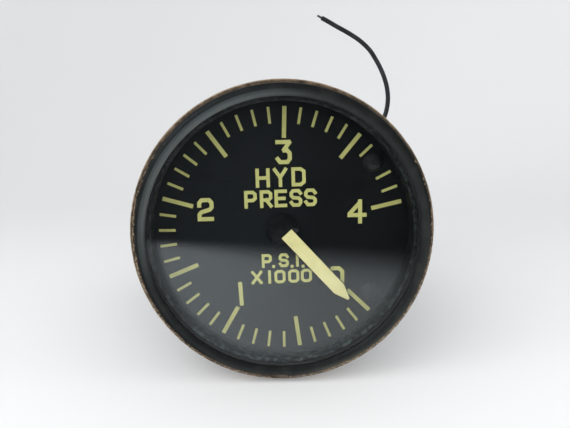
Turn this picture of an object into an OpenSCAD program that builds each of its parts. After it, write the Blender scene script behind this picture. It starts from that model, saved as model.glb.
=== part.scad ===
// Panel pressure gauge of the two-inch aircraft class: round case gripped by a clamp behind the panel,
// glass front, luminous dial from 0 to 4 and a pointer turned by a remote-reading motor.
// The origin is on the case axis, in the plane where the rim seats on the panel. The dial faces -Y.
// Inside the modules z points out of the dial, towards the reader, and facing() turns that to -Y.

/* [Case] */
// Outer diameter of the barrel that the panel clamp grips
case_d = 47.6; // [47:0.1:48.2]
// Wall thickness of the barrel
case_wall = 1.2; // [1:0.1:1.4]
// Length of the barrel behind the panel
case_len = 60; // [58:1:75]
// Thickness of the cover on the rear end
cover_t = 1.6; // [1.2:0.1:2.4]
// Height of the spigot of the rear cover inside the barrel
spigot_t = 1.2; // [0.8:0.1:1.6]
// Radius of the screw lugs inside the rear end of the barrel
lug_r = 2.6; // [2.2:0.1:2.8]
// Length of those lugs
lug_len = 6; // [5.6:0.1:8]
// How far those lugs run into the wall of the barrel
lug_sink = 0.6; // [0.4:0.1:1]
// Height of the shoulder inside the barrel that carries the movement
shoulder_t = 2.4; // [1.6:0.1:3.2]
// Radial width of that shoulder, measured from the wall
shoulder_w = 3.6; // [3.2:0.1:4]

/* [Rim and glass] */
// How far the brass rim stands out beyond the barrel
rim_out = 1.6; // [1:0.1:2.4]
// Thickness of the brass rim
rim_t = 1.4; // [1:0.1:2]
// Depth of the relief in the back of the rim, around the end of the barrel
rim_relief = 0.3; // [0.2:0.05:0.4]
// How far the black bezel ring stands back from the edge of the rim
bezel_step = 0.6; // [0.4:0.1:0.8]
// Width of the bezel ring's face around the glass
bezel_face = 2.1; // [1.9:0.1:2.3]
// How far the lip of the bezel ring covers the edge of the glass
glass_hold = 0.65; // [0.4:0.05:0.8]
// Thickness of the bezel lip over the glass
lip_t = 0.8; // [0.6:0.1:1]
// How far the rounded face of the bezel ring falls towards both its edges
bezel_drop = 0.5; // [0.2:0.05:0.5]
// Thickness of the cover glass
glass_t = 1.4; // [1:0.1:1.6]
// Thickness of the rubber ring under the glass
gasket_t = 0.4; // [0.3:0.1:0.6]
// How far the front end of the barrel stands back behind the rim's front
front_step = 0.2; // [0.1:0.1:0.4]
// How far the front end of the barrel is turned down to seat the rim
neck_step = 0.4; // [0.3:0.05:0.5]
// Length of the locating key in the bottom of the bezel
key_len = 3; // [2:0.1:4]
// Width of the locating key
key_w = 0.8; // [0.6:0.1:0.9]
// Angle of the key to the left of the bottom of the dial
key_angle = 1.6; // [0:0.1:3]

/* [Dial] */
// Depth of the dial face behind the panel plane
dial_depth = 3; // [2.4:0.1:3.6]
// Thickness of the dial plate
dial_t = 0.8; // [0.6:0.1:1.2]
// Wall thickness of the spacer ring between glass and dial
spacer_wall = 0.7; // [0.5:0.1:0.9]
// Dark border between the spacer ring and the outer ends of the graduations
scale_margin = 0.9; // [0.6:0.1:1.6]
// How far the painted markings sit below the axis of the pointer
mark_drop = 0.15; // [0:0.05:0.3]
// Length of a small graduation
minor_len = 2.8; // [2:0.1:3.4]
// Width of a small graduation
minor_w = 0.45; // [0.3:0.05:0.7]
// Length of a main graduation
major_len = 5.3; // [4:0.1:5.6]
// Width of a main graduation
major_w = 0.7; // [0.5:0.05:1]
// Angle between two graduations, each a tenth of a thousand
step_angle = 7.58; // [7:0.01:7.7]
// Direction of the 3 on the dial, from the right horizontal
three_angle = 89; // [85:0.5:95]
// Thickness of the paint of the markings
paint_t = 0.12; // [0.08:0.01:0.2]
// Height of the numerals
numeral_h = 4.2; // [3.6:0.1:4.4]
// Distance from the inner ends of the main graduations to the centres of the numerals
numeral_in = 2.3; // [2:0.1:2.6]
// Stroke width of the numerals
numeral_stroke = 0.68; // [0.5:0.02:0.9]
// Distance from the ends of the graduations to the dial screws
dial_screw_in = 1.8; // [1.6:0.1:2]
// Angle of the dial screws above and below the right horizontal
dial_screw_angle = 36.5; // [34:0.5:40]
// Diameter of the domed heads of the dial screws
dial_head_d = 3.5; // [3:0.1:3.6]
// Height of the domed heads of the dial screws
dial_head_h = 0.8; // [0.5:0.1:1]

/* [Pointer] */
// Distance from the outer ends of the graduations to the tip of the pointer
pointer_back = 4.1; // [4:0.1:6]
// Width of the luminous strip
strip_w = 2.3; // [1.6:0.1:2.6]
// Distance from the axis to the start of the strip
strip_start = 1; // [0.6:0.1:2]
// Length of the pointed end
tip_len = 2.5; // [1.5:0.1:4]
// Width of the blunt tip
tip_w = 0.4; // [0.2:0.1:1]
// Border of black blade that shows on each side of the strip
blade_border = 0.12; // [0.05:0.01:0.4]
// Thickness of the blade
blade_t = 0.3; // [0.25:0.05:0.4]
// Height of the blade above the dial face
pointer_lift = 0.7; // [0.65:0.05:1]
// Diameter of the black hub in the middle of the pointer
hub_d = 5.6; // [4:0.1:7]
// Radius of the low dome that the front of the hub has
hub_dome_r = 7; // [6:0.5:10]
// Free space between the dial face and the back of the hub
hub_gap = 0.3; // [0.2:0.05:0.4]
// Thickness of the hub over the end of the spindle
hub_cap = 0.3; // [0.2:0.05:0.4]
// Diameter of the collar behind the hub, in the hole of the dial
collar_d = 2.9; // [2.4:0.1:3.6]
// How far that collar goes into the hole of the dial
collar_in = 0.4; // [0.2:0.1:0.6]
// Radial space between the collar and the hole of the dial
collar_gap = 0.3; // [0.2:0.05:0.6]
// How far the pointer rests past the 0 mark, clockwise
rest_angle = 3.5; // [0:0.5:5]
// How far it can turn back from there before the stop arm meets the stop pin
turn_back = 9; // [4:0.5:12]
// Thickness of the luminous strip on the blade
strip_t = 0.15; // [0.1:0.01:0.25]

/* [Movement] */
// Length of the posts between the dial and the front plate
post_len = 4.2; // [3.9:0.1:5]
// Diameter of the dial posts
post_d = 4; // [3.4:0.1:4.4]
// Thickness of the front plate
plate_t = 1.6; // [1.2:0.1:2]
// Free space between the motor housing and the shoulder
motor_gap = 1; // [0.6:0.1:1.4]
// Wall thickness of the motor housing
motor_wall = 1; // [0.8:0.1:1.2]
// Free length between the end of the shaft and the inner face of the rear cover
rear_space = 7.5; // [6.5:0.1:9]
// Thickness of the motor's end plates
bell_t = 2; // [1.6:0.1:2.4]
// Diameter of the bearing bosses on the end plates
boss_d = 12; // [11:0.1:13]
// Height of the bearing bosses
boss_h = 4; // [3.8:0.1:4.4]
// Outer diameter of the bearings
bearing_d = 8; // [7:0.1:9]
// Width of the bearings
bearing_w = 2.5; // [2:0.1:2.8]
// Diameter of the rotor shaft
shaft_d = 3; // [2.6:0.1:3.4]
// Diameter of the spindle that carries the pointer
spindle_d = 1.6; // [1.2:0.1:1.8]
// Radial thickness of the stator core
stator_w = 7.96; // [7.5:0.02:8.5]
// How much shorter the rotor core is than the stator core at each end
rotor_inset = 1; // [0.5:0.1:1.5]
// Air gap between rotor and stator
air_gap = 0.3; // [0.2:0.05:0.4]
// Free space between the stator's winding ends and the end plates
end_space = 3.5; // [2.5:0.1:4.5]
// Length of the winding ends beyond the stator core
stator_coil_len = 3; // [2:0.1:3.2]
// Length of the winding ends beyond the rotor core
rotor_coil_len = 2; // [1.5:0.1:2.5]
// Diameter of the brass slip rings
slip_ring_d = 7.2; // [6.4:0.1:8]
// Width of a slip ring
slip_ring_w = 1; // [0.8:0.1:1.2]
// Radial thickness of a slip ring
slip_ring_t = 0.8; // [0.6:0.1:1]
// Free space before and behind the slip ring hub
slip_space = 1.5; // [1.2:0.1:2]
// Width of the brush block
brush_block_w = 8; // [6:0.5:10]
// Height of the brush block
brush_block_h = 5; // [4:0.5:6]
// Distance from the wall of the motor housing to the brush block
brush_block_in = 3.5; // [3:0.1:5]
// Thickness of a flat brush spring
brush_t = 0.35; // [0.2:0.05:0.5]
// Free space between a brush spring and its slip ring
brush_gap = 0.05; // [0.03:0.01:0.08]
// How far the winding ends stand back inside the bore that holds them
coil_inset = 1.4; // [1.2:0.1:1.8]
// Radial space between the winding ends and what they surround
coil_clear = 0.8; // [0.6:0.1:1]
// Thickness of the stop arm
arm_t = 1.4; // [1:0.1:1.6]
// Radial width of the collar that holds the stop arm on the shaft
arm_collar = 1.1; // [0.8:0.1:1.5]
// How much shorter the stop pin is than the dial posts
stop_pin_in = 1; // [0.6:0.1:1.4]
// Distance of the stop pin from the axis
stop_r = 7.5; // [7:0.1:8]
// Diameter of the stop pin
stop_pin_d = 4; // [3:0.1:4.2]
// Width of the stop arm on the shaft
stop_arm_w = 1.6; // [1.2:0.1:2]

/* [Rear connector and lead] */
// Side of the square flange of the connector
flange_side = 20; // [19:0.5:20.5]
// Thickness of the square flange
flange_t = 1.6; // [1.2:0.1:2]
// Distance of the flange screws from the edges of the flange
flange_screw_in = 2; // [1.8:0.1:2.2]
// Outer diameter of the connector shell
shell_d = 15; // [14:0.1:15.4]
// Wall thickness of the connector shell
shell_wall = 1.2; // [0.9:0.1:1.3]
// Length of the connector shell behind its flange
shell_len = 9; // [8:0.5:12]
// Depth of the insert in the shell
insert_t = 3; // [2:0.1:4]
// Number of contact pins
pin_count = 5; // [3:1:6]
// Distance from the wall of the shell to the pin circle
pin_in = 2; // [1.9:0.1:2.2]
// Diameter of a contact pin
pin_d = 1; // [0.8:0.1:1.2]
// How far the pins end inside the shell, and stand out of the insert at the back
pin_end = 1.5; // [1:0.1:2]
// Free space between the corner of the connector flange and the lead grommet
grommet_gap = 1; // [0.6:0.1:1.4]
// Direction of the lead grommet from the right horizontal
grommet_angle = 47; // [43:1:52]
// Diameter of the grommet's flange
grommet_d = 5; // [4:0.1:5.4]
// Height of the grommet's nose behind the cover
grommet_h = 3.2; // [2:0.1:4]
// Thickness of the grommet's flange on the cover
grommet_t = 1; // [0.6:0.1:1.4]
// Rubber around the lead in the neck of the grommet
grommet_wall = 0.9; // [0.6:0.1:1.1]
// How far the neck of the grommet stands out inside the case
grommet_neck = 0.6; // [0.4:0.1:1]
// Outer diameter of the insulated lead
lead_d = 1.15; // [1:0.05:1.3]
// Diameter of the bare strands at the end of the lead
core_d = 0.6; // [0.4:0.05:0.8]
// Length of those strands
core_len = 1.2; // [0.6:0.1:2]

/* [Fasteners and fits] */
// Shank diameter of the small screws
screw_d = 1.6; // [1.4:0.1:1.8]
// Head diameter of the small screws
screw_head_d = 3; // [2.6:0.1:3.2]
// Head height of the small screws
screw_head_h = 0.8; // [0.6:0.1:1]
// Radial clearance of pieces that are fixed in each other
fit_gap = 0.04; // [0.02:0.01:0.08]
// Radial clearance of the shaft in its bearings
running_gap = 0.03; // [0.02:0.01:0.08]
// Radial space around the shaft in the plates that it only passes through
passage_gap = 0.6; // [0.4:0.1:1]
// Free space between the spigot of the rear cover and the screw lugs
spigot_gap = 0.2; // [0.1:0.05:0.4]
// Depth of the rear cover's screws in the lugs of the barrel
screw_bite = 4; // [3:0.1:5]
// Free depth below the ends of the screws
end_clear = 0.3; // [0.2:0.05:0.5]
// Free space where the stop arm rests beside the stop pin
stop_gap = 0.06; // [0.04:0.01:0.1]

/* [Hidden] */
$fn = 96;

// Radii of the barrel and what fits in it
case_r = case_d / 2;
bore_r = case_r - case_wall;
seat_r = bore_r - fit_gap;

// Radii of the rim, the bezel ring, its opening and the glass
rim_r = case_r + rim_out;
neck_r = case_r - neck_step;
bezel_r = rim_r - bezel_step;
opening_r = bezel_r - bezel_face;
glass_r = opening_r + glass_hold;

// Heights of the glass stack, from the front end of the barrel outwards
case_front = rim_t - front_step;
glass_z = case_front + gasket_t;
lip_z = glass_z + glass_t;
bezel_top = lip_z + lip_t;

// Radius of the bezel ring's face, from its width and its fall
crown_r = (pow(bezel_face / 2, 2) + pow(bezel_drop, 2)) / (2 * bezel_drop);

// Radii on the dial
scale_r = bore_r - spacer_wall - scale_margin;
numeral_r = scale_r - major_len - numeral_in;
dial_screw_r = scale_r - dial_screw_in;
pointer_len = scale_r - pointer_back;

// Heights of the dial and the movement behind it
dial_z = -dial_depth;
post_z = dial_z - dial_t;
plate_z = post_z - post_len;
motor_z = plate_z - plate_t;
cover_z = -case_len;
cover_back = cover_z - cover_t;

// The slip rings on the shaft, behind the motor
slip_pitch = 2.2 * slip_ring_w;
slip_count = 2;
slip_margin = 0.9 * slip_ring_w;
slip_clear = 0.4;
slip_hub_len = slip_count * slip_pitch + slip_margin;
shaft_end = cover_z + rear_space;
slip_z = shaft_end + slip_clear + slip_hub_len;
brush_block_len = slip_space + slip_hub_len - slip_clear;

// The motor fills the length that is left
motor_end = slip_z + slip_space;
motor_len = motor_z - motor_end;
motor_r = bore_r - shoulder_w - motor_gap;
motor_bore_r = motor_r - motor_wall;
brush_block_y = motor_bore_r - brush_block_in - brush_block_h;
stator_mid = motor_z - motor_len / 2;
stator_bore_r = motor_bore_r - fit_gap - stator_w;
rotor_r = stator_bore_r - air_gap;
stator_len = motor_len - 2 * (bell_t + end_space + stator_coil_len);
rotor_len = stator_len - 2 * rotor_inset;

// Angles of the dial, the rest position and the stop
zero_angle = three_angle + 30 * step_angle - 360;
pointer_angle = zero_angle - rest_angle;
stop_angle = asin((stop_pin_d / 2 + stop_arm_w / 2 + stop_gap) / stop_r);
stop_arm_lag = 180;

// Heights of the pointer. The dome of the hub dips below the blade's top just before the strip starts
blade_z = dial_z + pointer_lift;
blade_top = blade_z + blade_t;
hub_z = dial_z + hub_gap;
dome_top = blade_top + hub_dome_r - sqrt(pow(hub_dome_r, 2) - pow(strip_start - fit_gap, 2));
spindle_bore_top = dome_top - hub_cap;
collar_hole_r = collar_d / 2 + collar_gap;

// The stop arm on the shaft, clear of the screw heads on the front plate
arm_clear = 0.3;
arm_z = plate_z + screw_head_h + arm_clear;
arm_top = arm_z + arm_t;

// Route of the lead in x, y, z of the part, from the grommet to the cut end
lead_route = [
    [12, 64.8, 12.9], [12, 66, 12.9], [12.4, 67.6, 12.9], [13.5, 69, 12.8], [15, 69.8, 12.6],
    [17, 70, 12.3], [19.5, 70, 11.9], [22, 70, 11.7], [24.4, 70, 11.9], [26.6, 70, 12.7],
    [28.2, 70, 14.2], [29.1, 70, 16], [29.6, 70, 18.2], [29.7, 70, 20.5], [29.4, 70, 22.8],
    [28.7, 70, 25.2], [27.7, 70, 27.5], [26.4, 70, 29.8], [24.8, 70, 32.1], [22.4, 70, 34.3],
    [19.6, 70, 36.1], [16.8, 70, 37.6], [14.3, 70, 39], [12.8, 70, 39.8]
];
lead_sides = 8;

black = [0.07, 0.08, 0.08];
brass = [0.62, 0.52, 0.36];
steel = [0.6, 0.61, 0.62];
lume = [0.8, 0.79, 0.5];

module facing() { rotate([90, 0, 0]) children(); }

module disc(r, z0, z1) { translate([0, 0, min(z0, z1)]) cylinder(r = r, h = abs(z1 - z0)); }

module ring(r_out, r_in, z0, z1) {
    rotate_extrude()
        translate([r_in, min(z0, z1)]) square([r_out - r_in, abs(z1 - z0)]);
}

module around(count, r, start = 0) {
    for (i = [0 : count - 1]) rotate(start + i * 360 / count) translate([r, 0]) children();
}

// Cheese head screw: its head stands on z and its shank goes down
module screw(z, shank) {
    disc(screw_head_d / 2, z, z + screw_head_h);
    disc(screw_d / 2, z - shank, z);
}

module case_body() {
    color(black) facing() {
        difference() {
            union() {
                ring(case_r, bore_r, cover_z, 0);
                ring(neck_r, bore_r, -1, case_front);
                ring(case_r - case_wall / 2, bore_r - shoulder_w, motor_z - shoulder_t, motor_z);
                intersection() {
                    disc(case_r - case_wall / 2, cover_z, cover_z + lug_len);
                    around(3, cover_screw_r) disc(lug_r, cover_z, cover_z + lug_len);
                }
            }
            around(3, plate_screw_r) disc(screw_d / 2 + fit_gap, motor_z - shoulder_t - 1, motor_z + 1);
            around(3, cover_screw_r) disc(screw_d / 2 + fit_gap, cover_z - 1, cover_z + screw_bite + 1);
        }
    }
}
plate_screw_r = bore_r - shoulder_w / 2;
cover_screw_r = bore_r - lug_r + lug_sink;

module rim_flange() {
    color(brass) facing()
        difference() {
            ring(rim_r, neck_r + fit_gap, 0, rim_t);
            disc(case_r + fit_gap, -1, rim_relief);
        }
}

// Turned ring with a rounded face and a seat for the glass
module bezel_ring() {
    bezel_h = bezel_top - rim_t;
    color(black) facing()
        difference() {
            rotate_extrude()
                difference() {
                    union() {
                        translate([opening_r, rim_t]) square([bezel_face, bezel_h - bezel_drop]);
                        intersection() {
                            translate([opening_r, rim_t]) square([bezel_face, bezel_h]);
                            translate([opening_r + bezel_face / 2, bezel_top - crown_r]) circle(crown_r);
                        }
                    }
                    translate([opening_r - 1, rim_t - 1])
                        square([glass_r + fit_gap - opening_r + 1, bezel_h - lip_t + 1]);
                }
            key_shape(fit_gap, rim_t - 1, bezel_top + 1);
        }
}

// Rounded bar shape of the locating key, at the bottom edge of the bezel
module key_shape(gap, z0, z1) {
    w = key_w / 2 + gap;
    half = key_len / 2 - key_w / 2;
    rotate(-key_angle) translate([0, -bezel_r + key_w / 2, z0])
        linear_extrude(z1 - z0) {
            square([2 * half, 2 * w], center = true);
            translate([half, 0]) circle(w);
            translate([-half, 0]) circle(w);
        }
}

module rim_key() { color(brass) facing() key_shape(0, rim_t, bezel_top - bezel_drop); }

module cover_glass() {
    color([0.8, 0.88, 0.9, 0.3]) facing() disc(glass_r, glass_z, glass_z + glass_t);
}

module glass_gasket() {
    color([0.12, 0.12, 0.12]) facing() ring(glass_r, bore_r, case_front, case_front + gasket_t);
}

module spacer_ring() {
    color(black) facing() ring(seat_r, bore_r - spacer_wall, dial_z, case_front);
}

module at_dial_screws() {
    for (side = [-1, 1]) rotate(side * dial_screw_angle) translate([dial_screw_r, 0]) children();
}

module dial_plate() {
    color([0.1, 0.11, 0.11]) facing()
        difference() {
            disc(seat_r, post_z, dial_z);
            disc(collar_hole_r, post_z - 1, dial_z + 1);
            at_dial_screws() disc(screw_d / 2 + fit_gap, post_z - 1, dial_z + 1);
        }
}

// Everything painted on the dial
module painted() { color(lume) facing() translate([0, -mark_drop, dial_z]) children(); }

// Bar of paint whose outer end lies on the scale radius
module graduation(angle, length, width) {
    rotate(angle) translate([scale_r - length, -width / 2]) cube([length, width, paint_t]);
}

// The graduation that the upper dial screw covers is left out
module dial_graduations() {
    painted()
        for (k = [0 : 40])
            if (k != 37)
                graduation(zero_angle - k * step_angle, k % 5 == 0 ? major_len : minor_len,
                    k % 5 == 0 ? major_w : minor_w);
}

// Centre lines of the plain stroke characters in a box one wide and one high
function strokes(c) =
    c == "0" ? [[[0.25, 0], [0.75, 0], [1, 0.16], [1, 0.84], [0.75, 1], [0.25, 1], [0, 0.84], [0, 0.16],
        [0.25, 0]]] :
    c == "1" || c == "I" ? [[[0.5, 0], [0.5, 1]]] :
    c == "2" ? [[[0, 0.72], [0, 0.85], [0.2, 1], [0.8, 1], [1, 0.85], [1, 0.62], [0.85, 0.5],
        [0.15, 0.36], [0, 0.24], [0, 0], [1, 0]]] :
    c == "3" ? [[[0, 1], [1, 1], [0.5, 0.58], [0.8, 0.58], [1, 0.44], [1, 0.16], [0.8, 0], [0.2, 0],
        [0, 0.16]]] :
    c == "4" ? [[[0.7, 0], [0.7, 1]], [[0.66, 0.92], [0, 0.4], [0, 0.33], [1, 0.33]]] :
    c == "D" ? [[[0, 0], [0, 1], [0.7, 1], [1, 0.84], [1, 0.16], [0.7, 0], [0, 0]]] :
    c == "E" ? [[[1, 1], [0, 1], [0, 0], [1, 0]], [[0, 0.5], [0.85, 0.5]]] :
    c == "H" ? [[[0, 0], [0, 1]], [[1, 0], [1, 1]], [[0, 0.5], [1, 0.5]]] :
    c == "P" ? [[[0, 0], [0, 1], [0.75, 1], [1, 0.86], [1, 0.57], [0.75, 0.43], [0, 0.43]]] :
    c == "R" ? [[[0, 0], [0, 1], [0.75, 1], [1, 0.86], [1, 0.57], [0.75, 0.43], [0, 0.43]],
        [[0.5, 0.43], [1, 0]]] :
    c == "S" ? [[[1, 0.82], [0.8, 1], [0.2, 1], [0, 0.84], [0, 0.66], [0.2, 0.52], [0.8, 0.48],
        [1, 0.34], [1, 0.16], [0.8, 0], [0.2, 0], [0, 0.18]]] :
    c == "X" ? [[[0, 0], [1, 1]], [[0, 1], [1, 0]]] :
    c == "Y" ? [[[0, 1], [0.5, 0.5], [0.5, 0]], [[1, 1], [0.5, 0.5]]] :
    [[[0.5, 0], [0.5, 0]]];

// How far a bar runs past the point i of its line, in shares of half its width: the whole half at a free
// end, as far as a mitre needs at a corner, and less at a sharp one, which gets a bevel
function past(points, i) =
    let (last = len(points) - 1, closed = last > 1 && points[0] == points[last],
        before = points[i] - points[i > 0 ? i - 1 : last - 1],
        after = points[i < last ? i + 1 : 1] - points[i])
    !closed && (i == 0 || i == last) ? 1 :
        mitre(acos(max(-1, min(1, before * after / norm(before) / norm(after)))));
function mitre(turn) = turn > 90 ? tan(90 - turn / 2) : tan(turn / 2);

// One painted character. Its centre, box and stroke width are in millimetres
module character(c, centre, size, stroke, turn = 0) {
    inner = [max(0, size[0] - stroke), max(0, size[1] - stroke)];
    translate(centre) rotate(turn) translate([-inner[0] / 2, -inner[1] / 2])
        linear_extrude(paint_t)
            for (line = strokes(c)) {
                points = [for (p = line) [p[0] * inner[0], p[1] * inner[1]]];
                for (i = [0 : len(points) - 2])
                    bar(points[i], points[i + 1], stroke, past(points, i), past(points, i + 1));
            }
}

// Bar from a to b that runs past them by shares of half its width
module bar(a, b, width, past_a, past_b) {
    d = b - a;
    translate(a) rotate(atan2(d[1], d[0])) translate([-past_a * width / 2, -width / 2])
        square([norm(d) + (past_a + past_b) * width / 2, width]);
}

// The numerals from 0 upwards, each at the inner end of its main graduation: width and height in shares
// of numeral_h, place on the circle of numerals as degrees on from the graduation and a share of its
// radius, and the turn of the upright character
numerals = [[0.7, 1, 0.5, 0.952, 0], [0.7, 1, -3, 1, 4], [0.66, 0.94, 0, 1.01, 1], [0.65, 0.97, 0, 0.992, 1],
    [0.78, 1, 0, 0.985, 1]];
module dial_numerals() {
    painted()
        for (i = [0 : len(numerals) - 1]) {
            mark = numerals[i];
            angle = zero_angle - i * 10 * step_angle + mark[2];
            character(str(i), numeral_r * mark[3] * [cos(angle), sin(angle)], numeral_h * [mark[0], mark[1]],
                numeral_stroke, mark[4]);
        }
}

// Rows of the legend, in shares of the radius of the numeral circle: letters, height above the centre,
// places of the letters from the centre to the right, width, height and stroke of a letter
legend_rows = [
    ["HYD", 0.672, [-0.248, -0.025, 0.207], 0.18, 0.243, 0.044],
    ["PRESS", 0.402, [-0.403, -0.205, -0.019, 0.174, 0.36], 0.16, 0.226, 0.043],
    ["PSI", -0.406, [-0.2, 0.019, 0.194], 0.13, 0.18, 0.036],
    ["X1000", -0.62, [-0.328, -0.164, -0.03, 0.148, 0.313], 0.143, 0.175, 0.036]
];
legend_climb = 1.8;
legend_dots = [-0.112, 0.127, 0.269];
dots_drop = 0.08;

module dial_legend() {
    painted() {
        for (row = legend_rows, i = [0 : len(row[0]) - 1])
            character(row[0][i], numeral_r * [row[2][i], row[1] + row[2][i] * tan(legend_climb)],
                numeral_r * [row[3], row[4]], row[5] * numeral_r, legend_climb);
        for (x = legend_dots)
            character(".", numeral_r * [x, legend_rows[2][1] - dots_drop], [0, 0],
                legend_rows[2][5] * numeral_r);
    }
}

// Two screws with low domed heads
module dial_screws() {
    dome_r = (pow(dial_head_d / 2, 2) + pow(dial_head_h, 2)) / (2 * dial_head_h);
    color(black) facing()
        at_dial_screws() {
            intersection() {
                translate([0, 0, dial_z + dial_head_h - dome_r]) sphere(dome_r);
                disc(dial_head_d, dial_z, 0);
            }
            disc(screw_d / 2, post_z - post_len / 2, dial_z + dial_head_h / 2);
        }
}

module dial_posts() {
    color(steel) facing()
        difference() {
            at_dial_screws() disc(post_d / 2, plate_z, post_z);
            at_dial_screws() disc(screw_d / 2 + fit_gap, post_z - post_len / 2 - end_clear, post_z + 1);
        }
}

passage_r = shaft_d / 2 + passage_gap;
motor_screw_share = 0.66;
motor_screw_r = boss_d / 2 + (motor_bore_r - boss_d / 2) * motor_screw_share;

module front_plate() {
    color(steel) facing()
        difference() {
            disc(seat_r, motor_z, plate_z);
            disc(passage_r, motor_z - 1, plate_z + 1);
            around(3, plate_screw_r) disc(screw_d / 2 + fit_gap, motor_z - 1, plate_z + 1);
            around(3, motor_screw_r, 60) disc(screw_d / 2 + fit_gap, motor_z - 1, plate_z + 1);
        }
}

module plate_screws() {
    color(steel) facing() around(3, plate_screw_r) screw(plate_z, plate_t + shoulder_t - end_clear);
}

module motor_screws() {
    color(steel) facing() around(3, motor_screw_r, 60) screw(plate_z, plate_t + bell_t - end_clear);
}

// Peg on the front plate that ends the pointer's travel both ways
module stop_pin() {
    color(steel) facing()
        rotate(pointer_angle + stop_arm_lag + stop_angle)
            translate([stop_r, 0]) disc(stop_pin_d / 2, plate_z, post_z - stop_pin_in);
}

module motor_housing() { color(steel) facing() ring(motor_r, motor_bore_r, motor_end, motor_z); }

// End plate with a bearing boss, drawn with its outer face at z 0 and its boss upwards
module bell() {
    difference() {
        union() {
            disc(motor_bore_r - fit_gap, 0, bell_t);
            disc(boss_d / 2, 0, boss_h);
        }
        disc(bearing_d / 2 + fit_gap, boss_h - bearing_w, boss_h + 1);
        disc(passage_r, -1, boss_h + 1);
    }
}

module front_bell() {
    color(steel) facing()
        difference() {
            translate([0, 0, motor_z]) mirror([0, 0, 1]) bell();
            around(3, motor_screw_r, 60) disc(screw_d / 2 + fit_gap, motor_z - bell_t - 1, motor_z + 1);
        }
}

module rear_bell() { color(steel) facing() translate([0, 0, motor_end]) bell(); }

module bearing(z) { ring(bearing_d / 2, shaft_d / 2 + running_gap, z, z + bearing_w); }

module front_bearing() { color(brass) facing() bearing(motor_z - boss_h); }

module rear_bearing() { color(brass) facing() bearing(motor_end + boss_h - bearing_w); }

module stator_core() {
    color([0.35, 0.35, 0.36]) facing()
        ring(motor_bore_r - fit_gap, stator_bore_r, stator_mid - stator_len / 2, stator_mid + stator_len / 2);
}

// Winding ends at both sides of the stator core
module stator_winding() {
    color([0.6, 0.3, 0.15]) facing()
        for (side = [-1, 1])
            ring(motor_bore_r - coil_inset, stator_bore_r + coil_clear, stator_mid + side * stator_len / 2,
                stator_mid + side * (stator_len / 2 + stator_coil_len));
}

module rotor_core() {
    color([0.4, 0.4, 0.42]) facing()
        ring(rotor_r, shaft_d / 2 + fit_gap, stator_mid - rotor_len / 2, stator_mid + rotor_len / 2);
}

module rotor_winding() {
    color([0.6, 0.3, 0.15]) facing()
        for (side = [-1, 1])
            ring(rotor_r - coil_inset, shaft_d / 2 + coil_clear, stator_mid + side * rotor_len / 2,
                stator_mid + side * (rotor_len / 2 + rotor_coil_len));
}

module rotor_shaft() {
    color(steel) facing() {
        disc(shaft_d / 2, shaft_end, arm_top);
        disc(spindle_d / 2, arm_top, spindle_bore_top - fit_gap);
    }
}

// Collar and arm on the shaft, behind the dial
module stop_arm() {
    color(steel) facing() rotate(pointer_angle + stop_arm_lag - turn_back)
        difference() {
            union() {
                disc(shaft_d / 2 + arm_collar, arm_z, arm_top);
                translate([0, -stop_arm_w / 2, arm_z])
                    cube([stop_r + stop_pin_d / 2, stop_arm_w, arm_top - arm_z]);
            }
            disc(shaft_d / 2 + fit_gap, arm_z - 1, arm_top + 1);
        }
}

module slip_ring_hub() {
    color([0.35, 0.12, 0.06]) facing()
        ring(slip_ring_d / 2 - slip_ring_t, shaft_d / 2 + fit_gap, slip_z - slip_hub_len, slip_z);
}

function slip_top(i) = slip_z - slip_margin - i * slip_pitch;

module slip_rings() {
    color(brass) facing()
        for (i = [0 : slip_count - 1])
            ring(slip_ring_d / 2, slip_ring_d / 2 - slip_ring_t + fit_gap, slip_top(i) - slip_ring_w,
                slip_top(i));
}

// Block of insulating material on the rear end plate, above the slip rings
module brush_block() {
    color([0.35, 0.12, 0.06]) facing()
        translate([-brush_block_w / 2, brush_block_y, motor_end - brush_block_len])
            cube([brush_block_w, brush_block_h, brush_block_len]);
}

// Flat springs that hang from the block and bear on the sides of the slip rings
module slip_brushes() {
    color(brass) facing()
        for (i = [0 : slip_count - 1])
            translate([slip_ring_d / 2 + brush_gap, -slip_ring_d / 4, slip_top(i) - slip_ring_w])
                cube([brush_t, brush_block_y + slip_ring_d / 4, slip_ring_w]);
}

module rear_cover() {
    color(black) facing()
        difference() {
            union() {
                disc(case_r, cover_back, cover_z);
                disc(cover_screw_r - lug_r - spigot_gap, cover_z, cover_z + spigot_t);
            }
            disc(shell_bore_r + fit_gap, cover_back - 1, cover_z + 2);
            around(3, cover_screw_r) disc(screw_d / 2 + fit_gap, cover_back - 1, cover_z + 2);
            at_flange_screws() disc(screw_d / 2 + fit_gap, cover_back - 1, cover_z + 2);
            at_grommet() disc(grommet_neck_r + fit_gap, cover_back - 1, cover_z + 2);
        }
}

module cover_screws() {
    color(steel) facing() around(3, cover_screw_r) translate([0, 0, cover_back]) mirror([0, 0, 1])
        screw(0, cover_t + screw_bite);
}

// Contacts on the rear: a square flange with a round shell around an insert with pins
shell_bore_r = shell_d / 2 - shell_wall;
flange_back = cover_back - flange_t;
flange_screw_at = flange_side / 2 - flange_screw_in;
shell_end = flange_back - shell_len;
grommet_neck_r = lead_d / 2 + grommet_wall;
nose_wall = 0.4;
grommet_r = flange_side / 2 * sqrt(2) + grommet_gap + grommet_d / 2;
pin_circle_r = shell_bore_r - pin_in;

module at_flange_screws() {
    for (x = [-1, 1], y = [-1, 1]) translate([x * flange_screw_at, y * flange_screw_at]) children();
}

module at_grommet() { rotate(grommet_angle) translate([grommet_r, 0]) children(); }

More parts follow.
